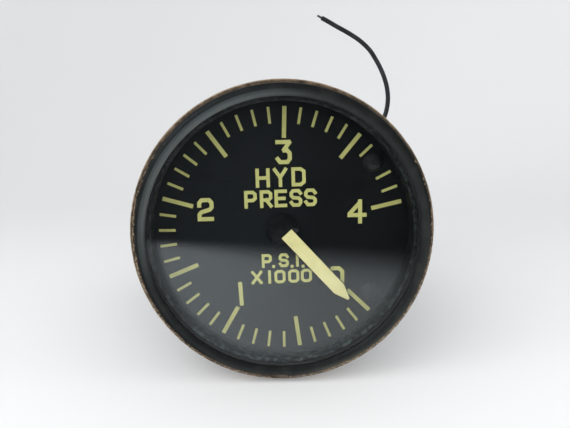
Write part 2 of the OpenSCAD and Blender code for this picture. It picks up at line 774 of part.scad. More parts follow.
module connector_shell() {
    color([0.45, 0.46, 0.42]) facing()
        difference() {
            union() {
                translate([-flange_side / 2, -flange_side / 2, flange_back])
                    cube([flange_side, flange_side, flange_t]);
                disc(shell_d / 2, shell_end, flange_back);
            }
            disc(shell_bore_r, shell_end - 1, cover_back + 1);
            at_flange_screws() disc(screw_d / 2 + fit_gap, flange_back - 1, cover_back + 1);
        }
}

module connector_insert() {
    color([0.12, 0.12, 0.11]) facing()
        difference() {
            disc(shell_bore_r - fit_gap, flange_back - insert_t, cover_z);
            around(pin_count, pin_circle_r, 90)
                disc(pin_d / 2 + fit_gap, flange_back - insert_t - 1, cover_z + 1);
        }
}

module connector_pins() {
    color([0.8, 0.65, 0.3]) facing()
        around(pin_count, pin_circle_r, 90) disc(pin_d / 2, shell_end + pin_end, cover_z + pin_end);
}

module connector_screws() {
    color(steel) facing() at_flange_screws() translate([0, 0, flange_back]) mirror([0, 0, 1])
        screw(0, flange_t + cover_t);
}

// Rubber gland with a neck through the cover and a tapered nose
module lead_grommet() {
    color([0.1, 0.1, 0.1]) facing() at_grommet()
        difference() {
            union() {
                disc(grommet_neck_r, cover_back, cover_z + grommet_neck);
                disc(grommet_d / 2, cover_back - grommet_t, cover_back);
                translate([0, 0, cover_back - grommet_h])
                    cylinder(r1 = lead_d / 2 + nose_wall, r2 = grommet_d / 2 - nose_wall,
                        h = grommet_h - grommet_t);
            }
            disc(lead_d / 2 + fit_gap, cover_back + cover_t / 3, cover_z + grommet_neck + 1);
        }
}

// Round tube of a given diameter swept along points
function direction(path, i) =
    let (d = path[min(i + 1, len(path) - 1)] - path[max(i - 1, 0)]) d / norm(d);
function across(t) = let (s = cross(t, [-0.6, 0.6, -0.5])) s / norm(s);
function tube_ring(path, i, r) =
    let (t = direction(path, i), u = across(t), v = cross(t, u))
    [for (k = [0 : lead_sides - 1])
        path[i] + r * (u * cos(k * 360 / lead_sides) + v * sin(k * 360 / lead_sides))];

module tube(path, d) {
    rings = len(path);
    n = lead_sides;
    points = [for (i = [0 : rings - 1]) each tube_ring(path, i, d / 2)];
    sides = [for (i = [0 : rings - 2], k = [0 : n - 1]) each [
        [i * n + k, i * n + (k + 1) % n, (i + 1) * n + (k + 1) % n],
        [i * n + k, (i + 1) * n + (k + 1) % n, (i + 1) * n + k]]];
    first = [for (k = [n - 1 : -1 : 0]) k];
    last = [for (k = [0 : n - 1]) (rings - 1) * n + k];
    polyhedron(points, concat(sides, [first], [last]));
}

module lead_wire() { color([0.13, 0.14, 0.15]) tube(lead_route, lead_d); }

// Bare strands that show at the cut end of the lead
module wire_core() {
    last = len(lead_route) - 1;
    tip = lead_route[last];
    d = direction(lead_route, last);
    color([0.55, 0.55, 0.54]) tube([tip, tip + d * core_len / 2, tip + d * core_len], core_d);
}

// Outline of the pointer: parallel sides, then a tapered end
module blade_outline(start, width, tip, length) {
    polygon([[start, -width / 2], [length - tip_len, -width / 2], [length, -tip / 2],
        [length, tip / 2], [length - tip_len, width / 2], [start, width / 2]]);
}

// The blade with its domed hub, which is pressed on the end of the spindle
module pointer_blade() {
    color(black) facing() rotate(pointer_angle)
        difference() {
            union() {
                intersection() {
                    translate([0, 0, dome_top - hub_dome_r]) sphere(hub_dome_r);
                    disc(hub_d / 2, hub_z, 0);
                }
                translate([0, 0, blade_z]) linear_extrude(blade_t)
                    blade_outline(0, strip_w + 2 * blade_border, tip_w + blade_border,
                        pointer_len + blade_border);
            }
            disc(spindle_d / 2 + fit_gap, hub_z - 1, spindle_bore_top);
        }
}

module pointer_strip() {
    color([0.9, 0.86, 0.62]) facing() rotate(pointer_angle) translate([0, 0, blade_top])
        linear_extrude(strip_t) blade_outline(strip_start, strip_w, tip_w, pointer_len);
}

// Collar on the spindle that the hub stands on, in the hole of the dial
module pointer_hub() {
    color(black) facing() ring(collar_d / 2, spindle_d / 2 + fit_gap, dial_z - collar_in, hub_z);
}

case_body();
rim_flange();
bezel_ring();
rim_key();
cover_glass();
glass_gasket();
spacer_ring();
dial_plate();
dial_graduations();
dial_numerals();
dial_legend();
dial_screws();
dial_posts();
front_plate();
plate_screws();
motor_screws();
stop_pin();
motor_housing();
front_bell();
rear_bell();
front_bearing();
rear_bearing();
stator_core();
stator_winding();
brush_block();
slip_brushes();
rear_cover();
cover_screws();
connector_shell();
connector_insert();
connector_pins();
connector_screws();
lead_grommet();
lead_wire();
wire_core();
pointer_blade();
pointer_strip();
pointer_hub();
rotor_shaft();
stop_arm();
rotor_core();
rotor_winding();
slip_ring_hub();
slip_rings();
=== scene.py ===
import bpy
import bmesh
import math
import random
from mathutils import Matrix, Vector, noise


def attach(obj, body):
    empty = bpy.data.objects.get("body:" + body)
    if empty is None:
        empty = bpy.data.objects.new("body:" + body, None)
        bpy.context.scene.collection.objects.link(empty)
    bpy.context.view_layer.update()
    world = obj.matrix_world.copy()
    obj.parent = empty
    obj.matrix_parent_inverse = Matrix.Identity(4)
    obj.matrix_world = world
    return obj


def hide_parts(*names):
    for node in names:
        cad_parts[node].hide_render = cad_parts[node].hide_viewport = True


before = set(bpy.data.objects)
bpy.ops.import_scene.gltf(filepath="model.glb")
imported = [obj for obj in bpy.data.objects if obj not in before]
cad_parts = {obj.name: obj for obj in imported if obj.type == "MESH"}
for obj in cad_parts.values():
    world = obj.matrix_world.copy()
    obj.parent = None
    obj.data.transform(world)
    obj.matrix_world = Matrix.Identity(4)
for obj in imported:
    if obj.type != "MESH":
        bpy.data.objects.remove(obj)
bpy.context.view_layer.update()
mm = 0.001
print("frame loaded:", len(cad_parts), "nodes")


# camera at the photograph's angle, fitted to the dial graduations
cameraValues = {
    "place": (-0.00607, -0.13216, 0.02603),
    "tilt": 80.11,
    "turn": -2.78,
    "lens": 50.526,
    "sensor": 36,
    "clipStart": 0.005,
}


def addCamera(values):
    turn = (math.radians(values["tilt"]), 0, math.radians(values["turn"]))
    bpy.ops.object.camera_add(location=values["place"], rotation=turn)
    camera = bpy.context.object
    camera.data.lens = values["lens"]
    camera.data.sensor_width = values["sensor"]
    camera.data.clip_start = values["clipStart"]
    bpy.context.scene.camera = camera


addCamera(cameraValues)


# modelling helpers: sizes are in millimetres, x to the right, y into the panel, z up

def deselectAll():
    if bpy.context.mode != "OBJECT":
        bpy.ops.object.mode_set(mode="OBJECT")
    bpy.ops.object.select_all(action="DESELECT")


def pick(piece):
    deselectAll()
    piece.select_set(True)
    bpy.context.view_layer.objects.active = piece


def applyPlace(piece):
    pick(piece)
    bpy.ops.object.transform_apply(location=True, rotation=True, scale=True)


def roundedProfile(corners, closed, steps):
    # corners are (radius, depth, rounding), and each rounding becomes an arc
    points = []
    count = len(corners)
    for i, corner in enumerate(corners):
        here = Vector(corner[:2])
        rounding = corner[2] if len(corner) > 2 else 0
        if rounding == 0 or (not closed and i in (0, count - 1)):
            points.append(here)
            continue
        before = (Vector(corners[i - 1][:2]) - here).normalized()
        after = (Vector(corners[(i + 1) % count][:2]) - here).normalized()
        half = math.acos(max(-1, min(1, before.dot(after)))) / 2
        reach = rounding / math.tan(half)
        centre = here + (before + after).normalized() * rounding / math.sin(half)
        start = here + before * reach - centre
        end = here + after * reach - centre
        first = math.atan2(start.y, start.x)
        sweep = math.atan2(end.y, end.x) - first
        sweep = (sweep + math.pi) % (2 * math.pi) - math.pi
        for k in range(steps + 1):
            angle = first + sweep * k / steps
            points.append(centre + rounding * Vector((math.cos(angle), math.sin(angle))))
    return points


def turned(name, corners, closed=True, centre=(0, 0), segments=192, steps=5):
    # a profile is drawn point by point, then spun round the case axis or one parallel to it
    points = roundedProfile(corners, closed, steps)
    deselectAll()
    bpy.ops.mesh.primitive_plane_add(size=mm, location=(0, 0, 0))
    piece = bpy.context.object
    piece.name = name
    piece.data.name = name
    bpy.ops.object.mode_set(mode="EDIT")
    bpy.ops.mesh.select_mode(type="VERT")
    bpy.ops.mesh.select_all(action="SELECT")
    bpy.ops.mesh.merge(type="CENTER")
    places = [Vector((centre[0] + p.x, p.y, centre[1])) * mm for p in points]
    bpy.ops.transform.translate(value=places[0])
    for a, b in zip(places, places[1:]):
        bpy.ops.mesh.extrude_vertices_move(TRANSFORM_OT_translate={"value": b - a})
    if closed:
        mesh = bmesh.from_edit_mesh(piece.data)
        mesh.verts.ensure_lookup_table()
        for i, vert in enumerate(mesh.verts):
            vert.select = i in (0, len(mesh.verts) - 1)
        mesh.select_flush_mode()
        bmesh.update_edit_mesh(piece.data)
        bpy.ops.mesh.edge_face_add()
    bpy.ops.mesh.select_all(action="SELECT")
    axisPlace = Vector((centre[0], 0, centre[1])) * mm
    bpy.ops.mesh.spin(steps=segments, angle=2 * math.pi, center=axisPlace, axis=(0, 1, 0))
    cleanUp(piece)
    return piece


def cleanUp(piece):
    pick(piece)
    bpy.ops.object.mode_set(mode="EDIT")
    bpy.ops.mesh.select_all(action="SELECT")
    bpy.ops.mesh.remove_doubles(threshold=0.0005 * mm)
    bpy.ops.mesh.normals_make_consistent(inside=False)
    bpy.ops.object.mode_set(mode="OBJECT")


def box(name, low, high, bevel=0):
    # a cube at its place, with all its edges bevelled
    size = [(h - l) * mm for l, h in zip(low, high)]
    middle = [(h + l) / 2 * mm for l, h in zip(low, high)]
    deselectAll()
    bpy.ops.mesh.primitive_cube_add(size=1, location=middle)
    piece = bpy.context.object
    piece.name = name
    piece.data.name = name
    piece.scale = size
    applyPlace(piece)
    if bevel:
        roundEdges(piece, bevel)
    return piece


def roundEdges(piece, width, steps=3, angle=35):
    pick(piece)
    bevel = piece.modifiers.new("edges", "BEVEL")
    bevel.width = width * mm
    bevel.segments = steps
    bevel.limit_method = "ANGLE"
    bevel.angle_limit = math.radians(angle)
    bpy.ops.object.modifier_apply(modifier=bevel.name)


def bevelAlongDepth(piece, width, steps=6):
    # rounds only the edges that run along the case axis
    pick(piece)
    bpy.ops.object.mode_set(mode="EDIT")
    bpy.ops.mesh.select_mode(type="EDGE")
    bpy.ops.mesh.select_all(action="DESELECT")
    mesh = bmesh.from_edit_mesh(piece.data)
    for edge in mesh.edges:
        along = edge.verts[1].co - edge.verts[0].co
        edge.select = abs(along.y) > 0.9 * along.length
    bmesh.update_edit_mesh(piece.data)
    bpy.ops.mesh.bevel(offset=width * mm, segments=steps, affect="EDGES")
    bpy.ops.object.mode_set(mode="OBJECT")


def combined(piece, other, operation):
    pick(piece)
    change = piece.modifiers.new("change", "BOOLEAN")
    change.operation = operation
    change.object = other
    change.solver = "EXACT"
    bpy.ops.object.modifier_apply(modifier=change.name)
    bpy.data.objects.remove(other)
    cleanUp(piece)


def joined(name, pieces):
    deselectAll()
    for piece in pieces:
        piece.select_set(True)
    bpy.context.view_layer.objects.active = pieces[0]
    if len(pieces) > 1:
        bpy.ops.object.join()
    pieces[0].name = name
    pieces[0].data.name = name
    return pieces[0]


def drill(piece, places, radius, front, back, segments=32):
    pins = []
    for x, z in places:
        deselectAll()
        bpy.ops.mesh.primitive_cylinder_add(
            vertices=segments,
            radius=radius * mm,
            depth=(back - front) * mm,
            location=(x * mm, (front + back) / 2 * mm, z * mm),
            rotation=(math.radians(90), 0, 0),
        )
        pins.append(bpy.context.object)
    cutter = joined("cutter", pins)
    applyPlace(cutter)
    combined(piece, cutter, "DIFFERENCE")


def copiesAt(name, model, places):
    # places are (x, y, z, turn about the y axis in degrees) in millimetres
    copies = []
    for x, y, z, turn in places:
        copy = model.copy()
        copy.data = model.data.copy()
        bpy.context.collection.objects.link(copy)
        copy.location = Vector((x, y, z)) * mm
        copy.rotation_euler = (0, math.radians(turn), 0)
        applyPlace(copy)
        copies.append(copy)
    bpy.data.objects.remove(model)
    return joined(name, copies)


def smooth(piece, angle=35):
    pick(piece)
    bpy.ops.object.shade_smooth_by_angle(angle=math.radians(angle))


def dent(piece, dents, shareAt):
    # small dents from handling, pushed in along the normals as far as shareAt(point) says
    for vert in piece.data.vertices:
        point = vert.co / mm
        share = shareAt(point)
        if share > 0:
            wave = noise.noise(point / dents["size"] + Vector((dents["seed"], 0, 0)))
            vert.co -= vert.normal * max(0, wave) * dents["depth"] * share * mm


def around(count, radius, start=0):
    angles = [math.radians(start + i * 360 / count) for i in range(count)]
    return [(radius * math.cos(a), radius * math.sin(a)) for a in angles]


def finishPiece(piece, body, material, node):
    piece.data.materials.clear()
    piece.data.materials.append(material)
    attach(piece, body)
    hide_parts(node)


# materials: noise patterns are (size in millimetres, detail, roughness, seed), and limits are where a mask
# starts and where it is full

def asColour(value):
    # red, green and blue get an alpha, and a socket stays as it is
    return value if isinstance(value, bpy.types.NodeSocket) else (*value, 1)


class Signal:
    # a socket wrapped so that shader maths reads as plain expressions
    def __init__(self, finish, socket):
        self.finish = finish
        self.socket = socket

    def maths(self, operation, first, second):
        node = self.finish.add("ShaderNodeMath", {"operation": operation}, {0: first, 1: second})
        return Signal(self.finish, node.outputs[0])

    def __add__(self, other):
        return self.maths("ADD", self, other)

    def __radd__(self, other):
        return self.maths("ADD", other, self)

    def __sub__(self, other):
        return self.maths("SUBTRACT", self, other)

    def __rsub__(self, other):
        return self.maths("SUBTRACT", other, self)

    def __mul__(self, other):
        return self.maths("MULTIPLY", self, other)

    def __rmul__(self, other):
        return self.maths("MULTIPLY", other, self)

    def __truediv__(self, other):
        return self.maths("DIVIDE", self, other)

    def __rtruediv__(self, other):
        return self.maths("DIVIDE", other, self)

    def __pow__(self, other):
        return self.maths("POWER", self, other)

    def above(self, low, high):
        # 0 below low, 1 above high, smooth between
        settings = {"interpolation_type": "SMOOTHSTEP"}
        node = self.finish.add("ShaderNodeMapRange", settings, {0: self, 1: low, 2: high, 3: 0, 4: 1})
        return Signal(self.finish, node.outputs[0])

    def most(self, other):
        return self.maths("MAXIMUM", self, other)

    def least(self, other):
        return self.maths("MINIMUM", self, other)

    def wave(self):
        return self.maths("SINE", self, 0)

    def size(self):
        return self.maths("ABSOLUTE", self, 0)


class Finish:
    def __init__(self, name):
        self.material = bpy.data.materials.new(name)
        self.material.use_nodes = True
        self.nodes = self.material.node_tree.nodes
        self.links = self.material.node_tree.links
        self.nodes.clear()
        self.coordinates = self.add("ShaderNodeTexCoord").outputs["Object"]
        parts = self.add("ShaderNodeSeparateXYZ", {}, {0: self.coordinates})
        self.x = Signal(self, parts.outputs[0])
        self.y = Signal(self, parts.outputs[1])
        self.z = Signal(self, parts.outputs[2])

    def add(self, kind, settings=None, values=None):
        node = self.nodes.new(kind)
        for key, value in (settings or {}).items():
            setattr(node, key, value)
        for key, value in (values or {}).items():
            if isinstance(value, Signal):
                value = value.socket
            if isinstance(value, bpy.types.NodeSocket):
                self.links.new(value, node.inputs[key])
            else:
                node.inputs[key].default_value = value
        return node

    def radius(self):
        # distance from the case axis
        return (self.x * self.x + self.z * self.z) ** 0.5

    def grain(self, size, detail, roughness, seed=0, stretch=None):
        place = self.coordinates
        if stretch or seed:
            values = {"Vector": place, "Location": (seed, seed, seed), "Scale": stretch or (1, 1, 1)}
            place = self.add("ShaderNodeMapping", {}, values).outputs[0]
        values = {"Vector": place, "Scale": 1 / (size * mm), "Detail": detail, "Roughness": roughness}
        return Signal(self, self.add("ShaderNodeTexNoise", {}, values).outputs[0])

    def ripples(self, along, pitch, waver=0):
        # a sine wave with one crest in each pitch
        return (along * (2 * math.pi / (pitch * mm)) + waver).wave()

    def blended(self, factor, first, second):
        settings = {"data_type": "RGBA"}
        node = self.add("ShaderNodeMix", settings, {0: factor, 6: asColour(first), 7: asColour(second)})
        return node.outputs[2]

    def bump(self, height, relief):
        values = {"Height": height, "Distance": relief * mm, "Strength": 1.0}
        return self.add("ShaderNodeBump", {}, values).outputs[0]

    def shaded(self, values):
        shader = self.add("ShaderNodeBsdfPrincipled", {}, values)
        return self.shown(shader)

    def mixed(self, factor, first, second):
        shader = self.add("ShaderNodeMixShader", {}, {0: factor, 1: first.outputs[0], 2: second.outputs[0]})
        return self.shown(shader)

    def shown(self, shader):
        self.add("ShaderNodeOutputMaterial", {}, {0: shader.outputs[0]})
        return self.material


def dimmed(colour, share):
    return [c * share for c in colour]


# black enamel, satin and slightly dusty
enamelValues = {
    "base": (0.0095, 0.011, 0.0115), "dust": 0.6, "gloss": 0.5, "roughness": 0.36, "relief": 0.012,
    "cloud": (6, 4, 0.6), "fine": (0.3, 2, 0.6),
    "haze": (2.2, 5, 0.7, 0.3), "hazeLimits": (0.45, 0.75), "hazeColour": (0.045, 0.047, 0.045),
    "speck": (0.35, 3, 0.7, 0.7), "speckLimits": (0.66, 0.72), "speckColour": (0.1, 0.095, 0.085),
    "dustShare": 0.4,
}
bezelEnamelValues = {
    **enamelValues, "base": (0.009, 0.0105, 0.0105), "dust": 0.7, "gloss": 0.35, "fine": (0.18, 2, 0.6),
}

# where the enamel is rubbed through to brown metal: edges are (radius, width, amount), the low side is rubbed
# most, and nearly nothing behind the depth wornTo; the lighter tan near the outer edge is partly worn metal
# and partly a painted highlight on the lower side
bezelWearValues = {
    "edges": ((24.85, 1.7, 0.95), (22.75, 0.2, 0.14)), "wornTo": -2.6, "wornBlend": 0.7, "wornShare": 0.8,
    "level": 0.72, "lowSide": 0.55, "patch": (0.9, 4, 0.75, 1.3), "patchShare": 0.9, "limits": (0.78, 0.9),
    "tan": (0.45, 3, 0.6), "tanLimits": (0.4, 0.64), "tanFrom": 24.1, "tanTo": 24.6,
    "brown": (0.042, 0.027, 0.018), "tanWearAndHighlightColour": (0.36, 0.27, 0.175), "metallic": 0.2,
}
coverWearValues = {**bezelWearValues, "edges": ((23.7, 0.5, 0.3),), "wornTo": 70}

# painted highlight: the inner half of the bezel, towards the upper left, is painted a lighter grey-teal to
# stand for the sheen of light reflected there, and has a clear coat there
paintedSheenValues = {
    "x": -0.77, "z": 0.64, "sideLimits": (0.35, 0.95), "fadeFrom": 23.75, "fadeTo": 24.0,
    "dark": (0.024, 0.031, 0.031), "light": (0.044, 0.055, 0.055),
    "coat": 0.75, "coatCloud": 0.5, "coatRoughness": 0.34,
}


def rubbedMask(f, values):
    rubbed = 0
    for radius, width, amount in values["edges"]:
        distance = (f.radius() - radius * mm).size()
        near = 1 - (distance / (width * mm)).least(1)
        behind = (f.y / mm).above(values["wornTo"] - values["wornBlend"], values["wornTo"])
        near = near * (1 - behind * values["wornShare"])
        lower = values["level"] - f.z / (radius * mm) * values["lowSide"]
        wear = near * near * lower * amount + f.grain(*values["patch"]) * values["patchShare"]
        rubbed = wear.above(*values["limits"]).most(rubbed)
    return rubbed


def blackEnamel(name, values, wear=None, paintedSheen=None):
    f = Finish(name)
    cloud = f.grain(*values["cloud"])
    fine = f.grain(*values["fine"])
    haze = f.grain(*values["haze"]).above(*values["hazeLimits"])
    speck = f.grain(*values["speck"]).above(*values["speckLimits"])
    colour = f.blended(haze * values["dustShare"] * values["dust"], values["base"], values["hazeColour"])
    colour = f.blended(speck * values["dustShare"] * values["dust"], colour, values["speckColour"])
    sockets = {
        "Roughness": values["roughness"] + cloud * 0.1 + fine * 0.06 + haze * 0.1,
        "Specular IOR Level": values["gloss"],
        "Normal": f.bump(fine + cloud * 0.6, values["relief"]),
    }
    if wear:
        rubbed = rubbedMask(f, wear)
        # the lighter tan is partly worn metal and partly painted highlight
        tan = f.grain(*wear["tan"]).above(*wear["tanLimits"])
        tan = tan * f.radius().above(wear["tanFrom"] * mm, wear["tanTo"] * mm)
        colour = f.blended(rubbed, colour, f.blended(tan, wear["brown"], wear["tanWearAndHighlightColour"]))
        sockets["Metallic"] = rubbed * wear["metallic"]
    if paintedSheen:
        # painted highlight: lighter grey-teal on the inner half towards the upper left, with a clear coat
        # there
        toSide = (f.x * paintedSheen["x"] + f.z * paintedSheen["z"]) / f.radius()
        fade = f.radius().above(paintedSheen["fadeFrom"] * mm, paintedSheen["fadeTo"] * mm)
        sheenZone = toSide.above(*paintedSheen["sideLimits"]) * (1 - fade)
        colour = f.blended(sheenZone, colour, f.blended(cloud, paintedSheen["dark"], paintedSheen["light"]))
        sockets["Coat Weight"] = sheenZone * (paintedSheen["coat"] + cloud * paintedSheen["coatCloud"])
        sockets["Coat Roughness"] = paintedSheen["coatRoughness"]
    sockets["Base Color"] = colour
    return f.shaded(sockets)


# brass that was lacquered once: dull brown, rubbed bright on its outer edge
rimBrassValues = {
    "outer": 25.4, "edge": 0.45, "edgeBlend": 0.4, "edgeShare": 0.42, "patchShare": 0.75,
    "limits": (0.54, 0.82),
    "patch": (1.6, 5, 0.7), "patchLimits": (0.3, 0.7), "fine": (0.25, 3, 0.6, 0.4),
    "brown": (0.03, 0.02, 0.013), "tan": (0.17, 0.115, 0.07),
    "dull": (0.22, 0.155, 0.095), "bright": (0.5, 0.38, 0.25), "roughness": 0.62, "relief": 0.02,
}


def wornBrass(name, values):
    f = Finish(name)
    patch = f.grain(*values["patch"])
    fine = f.grain(*values["fine"])
    edge = (f.radius() - (values["outer"] - values["edge"]) * mm).above(0, values["edgeBlend"] * mm)
    rubbed = (edge * values["edgeShare"] + patch * values["patchShare"]).above(*values["limits"])
    dark = f.blended(patch.above(*values["patchLimits"]), values["brown"], values["tan"])
    light = f.blended(fine, values["dull"], values["bright"])
    return f.shaded({
        "Base Color": f.blended(rubbed, dark, light),
        "Metallic": 0.1 + rubbed * 0.3,
        "Roughness": values["roughness"] - rubbed * 0.18 + fine * 0.1,
        "Normal": f.bump(patch + fine * 0.5, values["relief"]),
    })


# matt black paint of the dial, with a little dust
dialPaintValues = {
    "dark": (0.0048, 0.0057, 0.0066), "light": (0.0078, 0.0088, 0.0098),
    "cloud": (9, 3, 0.5), "fine": (0.12, 2, 0.6),
    "dust": (0.28, 2, 0.8, 0.9), "dustLimits": (0.7, 0.76), "dustShare": 0.3,
    "dustColour": (0.035, 0.035, 0.03),
    "roughness": 0.62, "gloss": 0.06, "relief": 0.006,
}


def dialBlack(name, values):
    f = Finish(name)
    cloud = f.grain(*values["cloud"])
    fine = f.grain(*values["fine"])
    dust = f.grain(*values["dust"]).above(*values["dustLimits"])
    colour = f.blended(cloud, values["dark"], values["light"])
    return f.shaded({
        "Base Color": f.blended(dust * values["dustShare"], colour, values["dustColour"]),
        "Roughness": values["roughness"] + fine * 0.15,
        "Specular IOR Level": values["gloss"],
        "Normal": f.bump(fine, values["relief"]),
    })


# mottled black coat of the ring between dial and glass, lighter bluish grey in its hollows: a little dust all
# round, and a painted reflection that makes it most at the bottom
crinkleValues = {
    "black": (0.003, 0.0035, 0.004), "dust": (0.05, 0.066, 0.066), "lowLimits": (0.2, 0.9),
    "dustAround": 0.35, "paintedReflectionLow": 0.65, "crease": (0.75, 2, 0.5, 0.4), "creaseLimits": (0.46, 0.62),
    "fine": (0.14, 2, 0.6), "roughness": 0.5, "relief": 0.05,
}


def crinkleBlack(name, values):
    f = Finish(name)
    crease = f.grain(*values["crease"]).above(*values["creaseLimits"])
    fine = f.grain(*values["fine"])
    low = (0 - f.z / f.radius()).above(*values["lowLimits"])
    # lighter in the hollows: dust all round, plus painted reflection towards the bottom
    dustAndReflection = crease * (values["dustAround"] + low * values["paintedReflectionLow"])
    return f.shaded({
        "Base Color": f.blended(dustAndReflection, values["black"], values["dust"]),
        "Roughness": values["roughness"] + fine * 0.2,
        "Normal": f.bump(crease + fine * 0.3, values["relief"]),
    })


# luminous paint that has yellowed with age, grainy and pitted
lumeValues = {
    "patch": (2.4, 4, 0.65), "patchLimits": (0.3, 0.72),
    "fine": (0.1, 3, 0.7, 0.2), "fineShade": 0.72, "fineShare": 0.22,
    "pit": (0.22, 2, 0.6, 1.1), "pitLimits": (0.66, 0.74), "pitShade": 0.4, "pitShare": 0.35,
    "roughness": 0.72, "relief": 0.02,
}


def lumePaint(name, light, dark):
    f = Finish(name)
    values = lumeValues
    patch = f.grain(*values["patch"])
    fine = f.grain(*values["fine"])
    pit = f.grain(*values["pit"]).above(*values["pitLimits"])
    colour = f.blended(patch.above(*values["patchLimits"]), light, dark)
    colour = f.blended(fine * values["fineShare"], colour, dimmed(dark, values["fineShade"]))
    return f.shaded({
        "Base Color": f.blended(pit * values["pitShare"], colour, dimmed(dark, values["pitShade"])),
        "Roughness": values["roughness"] + fine * 0.15,
        "Normal": f.bump(fine + patch * 0.5, values["relief"]),
    })


# glossy black enamel of the hub, lightly scuffed
hubValues = {
    "black": (0.0042, 0.004, 0.0042), "cloud": (1.4, 4, 0.6),
    "scuff": (0.3, 3, 0.7, 0.5), "scuffLimits": (0.6, 0.75), "scuffColour": (0.03, 0.025, 0.022),
    "scuffShare": 0.12, "gloss": 0.14, "roughness": 0.2, "relief": 0.008,
}


def glossBlack(name, values):
    f = Finish(name)
    cloud = f.grain(*values["cloud"])
    scuff = f.grain(*values["scuff"]).above(*values["scuffLimits"])
    return f.shaded({
        "Base Color": f.blended(scuff * values["scuffShare"], values["black"], values["scuffColour"]),
        "Specular IOR Level": values["gloss"],
        "Roughness": values["roughness"] + cloud * 0.14 + scuff * 0.15,
        "Normal": f.bump(cloud, values["relief"]),
    })


# clear pane with faint smears and spots: shadow rays and diffuse rays pass it unbent, the eye sees its gloss
paneValues = {
    "tint": (0.97, 0.985, 0.98), "passed": (0.94, 0.95, 0.95), "refraction": 1.5,
    "smear": (7, 4, 0.6), "smearStretch": (1, 1, 2.2), "smearLimits": (0.5, 0.85), "smearRoughness": 0.02,
    "spot": (0.5, 2, 0.6, 0.6), "spotLimits": (0.7, 0.78), "spotRoughness": 0.06,
}


def paneGlass(name, values):
    f = Finish(name)
    smear = f.grain(*values["smear"], stretch=values["smearStretch"]).above(*values["smearLimits"])
    spot = f.grain(*values["spot"]).above(*values["spotLimits"])
    pane = f.add("ShaderNodeBsdfPrincipled", {}, {
        "Base Color": asColour(values["tint"]),
        "Roughness": smear * values["smearRoughness"] + spot * values["spotRoughness"],
        "Transmission Weight": 1.0,
        "IOR": values["refraction"],
    })
    clear = f.add("ShaderNodeBsdfTransparent", {}, {"Color": asColour(values["passed"])})
    path = f.add("ShaderNodeLightPath")
    shadow = Signal(f, path.outputs["Is Shadow Ray"])
    return f.mixed(shadow.most(path.outputs["Is Diffuse Ray"]), pane, clear)


# bare metals, turned, brushed or drawn, with a little dirt; rings is the pitch of the tool marks
metalValues = {
    "patch": (3, 4, 0.6), "patchLimits": (0.3, 0.7), "fine": (0.16, 3, 0.6, 0.8), "relief": 0.008,
    "dirt": (1.1, 5, 0.75, 1.7), "dirtLimits": (0.52, 0.76), "dirtShade": 0.25,
}


def bareMetal(name, light, dark, roughness=0.35, rings=0.0, soil=0.3):
    f = Finish(name)
    values = metalValues
    patch = f.grain(*values["patch"])
    fine = f.grain(*values["fine"])
    dirt = f.grain(*values["dirt"]).above(*values["dirtLimits"])
    colour = f.blended(patch.above(*values["patchLimits"]), light, dark)
    height = fine
    if rings:
        height = fine * 0.4 + f.ripples(f.radius(), rings, fine * 1.5) * 0.5
    return f.shaded({
        "Base Color": f.blended(dirt * soil, colour, dimmed(dark, values["dirtShade"])),
        "Metallic": 1 - dirt * soil * 0.7,
        "Roughness": roughness + patch * 0.1 + dirt * 0.2,
        "Normal": f.bump(height, values["relief"]),
    })


# thin sheets stacked along the axis, oily and stained
sheetValues = {
    "thickness": 0.5, "waver": (2, 2, 0.5), "gap": (0.05, 0.048, 0.045), "sheet": (0.26, 0.255, 0.25),
    "stain": (2.5, 5, 0.7, 0.4), "stainLimits": (0.5, 0.75), "stainColour": (0.12, 0.06, 0.03),
    "relief": 0.05,
}


def stackedSheet(name, values):
    f = Finish(name)
    layers = f.ripples(f.y, values["thickness"], f.grain(*values["waver"]) * 0.8)
    stain = f.grain(*values["stain"]).above(*values["stainLimits"])
    colour = f.blended(layers.above(-1, 0.4), values["gap"], values["sheet"])
    return f.shaded({
        "Base Color": f.blended(stain * 0.5, colour, values["stainColour"]),
        "Metallic": 0.85 - stain * 0.4,
        "Roughness": 0.42 + stain * 0.2,
        "Normal": f.bump(layers, values["relief"]),
    })


# enamelled wire wound in layers under varnish
windingValues = {
    "wire": 0.32, "waver": (3, 2, 0.5), "gap": (0.08, 0.02, 0.008), "crest": (0.42, 0.15, 0.06),
    "varnish": (2.2, 4, 0.6, 0.3), "varnishLimits": (0.5, 0.8), "varnishColour": (0.2, 0.07, 0.02),
    "relief": 0.08,
}


def woundWire(name, values):
    f = Finish(name)
    turns = f.ripples(f.radius(), values["wire"], f.grain(*values["waver"]) * 1.5)
    height = turns.most(f.ripples(f.y, values["wire"]))
    varnish = f.grain(*values["varnish"])
    thick = varnish.above(*values["varnishLimits"]) * 0.5
    colour = f.blended(height.above(-1, 1), values["gap"], values["crest"])
    return f.shaded({
        "Base Color": f.blended(thick, colour, values["varnishColour"]),
        "Metallic": 0.6,
        "Roughness": 0.32 + varnish * 0.15,
        "Normal": f.bump(height, values["relief"]),
    })


# moulded plastic, rubber and plain dark coats; size is that of its patches
def mouldedPlastic(name, light, dark, roughness=0.45, size=1.2, gloss=0.5):
    f = Finish(name)
    patch = f.grain(size, 4, 0.65)
    fine = f.grain(0.14, 3, 0.6, 0.5)
    return f.shaded({
        "Base Color": f.blended(patch.above(0.3, 0.7), light, dark),
        "Roughness": roughness + patch * 0.12 + fine * 0.08,
        "Specular IOR Level": gloss,
        "Normal": f.bump(fine + patch * 0.5, 0.01),
    })


# olive drab plating of the connector, thin on the crests
platingValues = {
    "dark": (0.085, 0.09, 0.05), "light": (0.15, 0.15, 0.085), "patch": (2, 4, 0.65),
    "worn": (0.6, 5, 0.75, 0.9), "wornLimits": (0.56, 0.7), "wornColour": (0.4, 0.4, 0.36), "relief": 0.01,
}


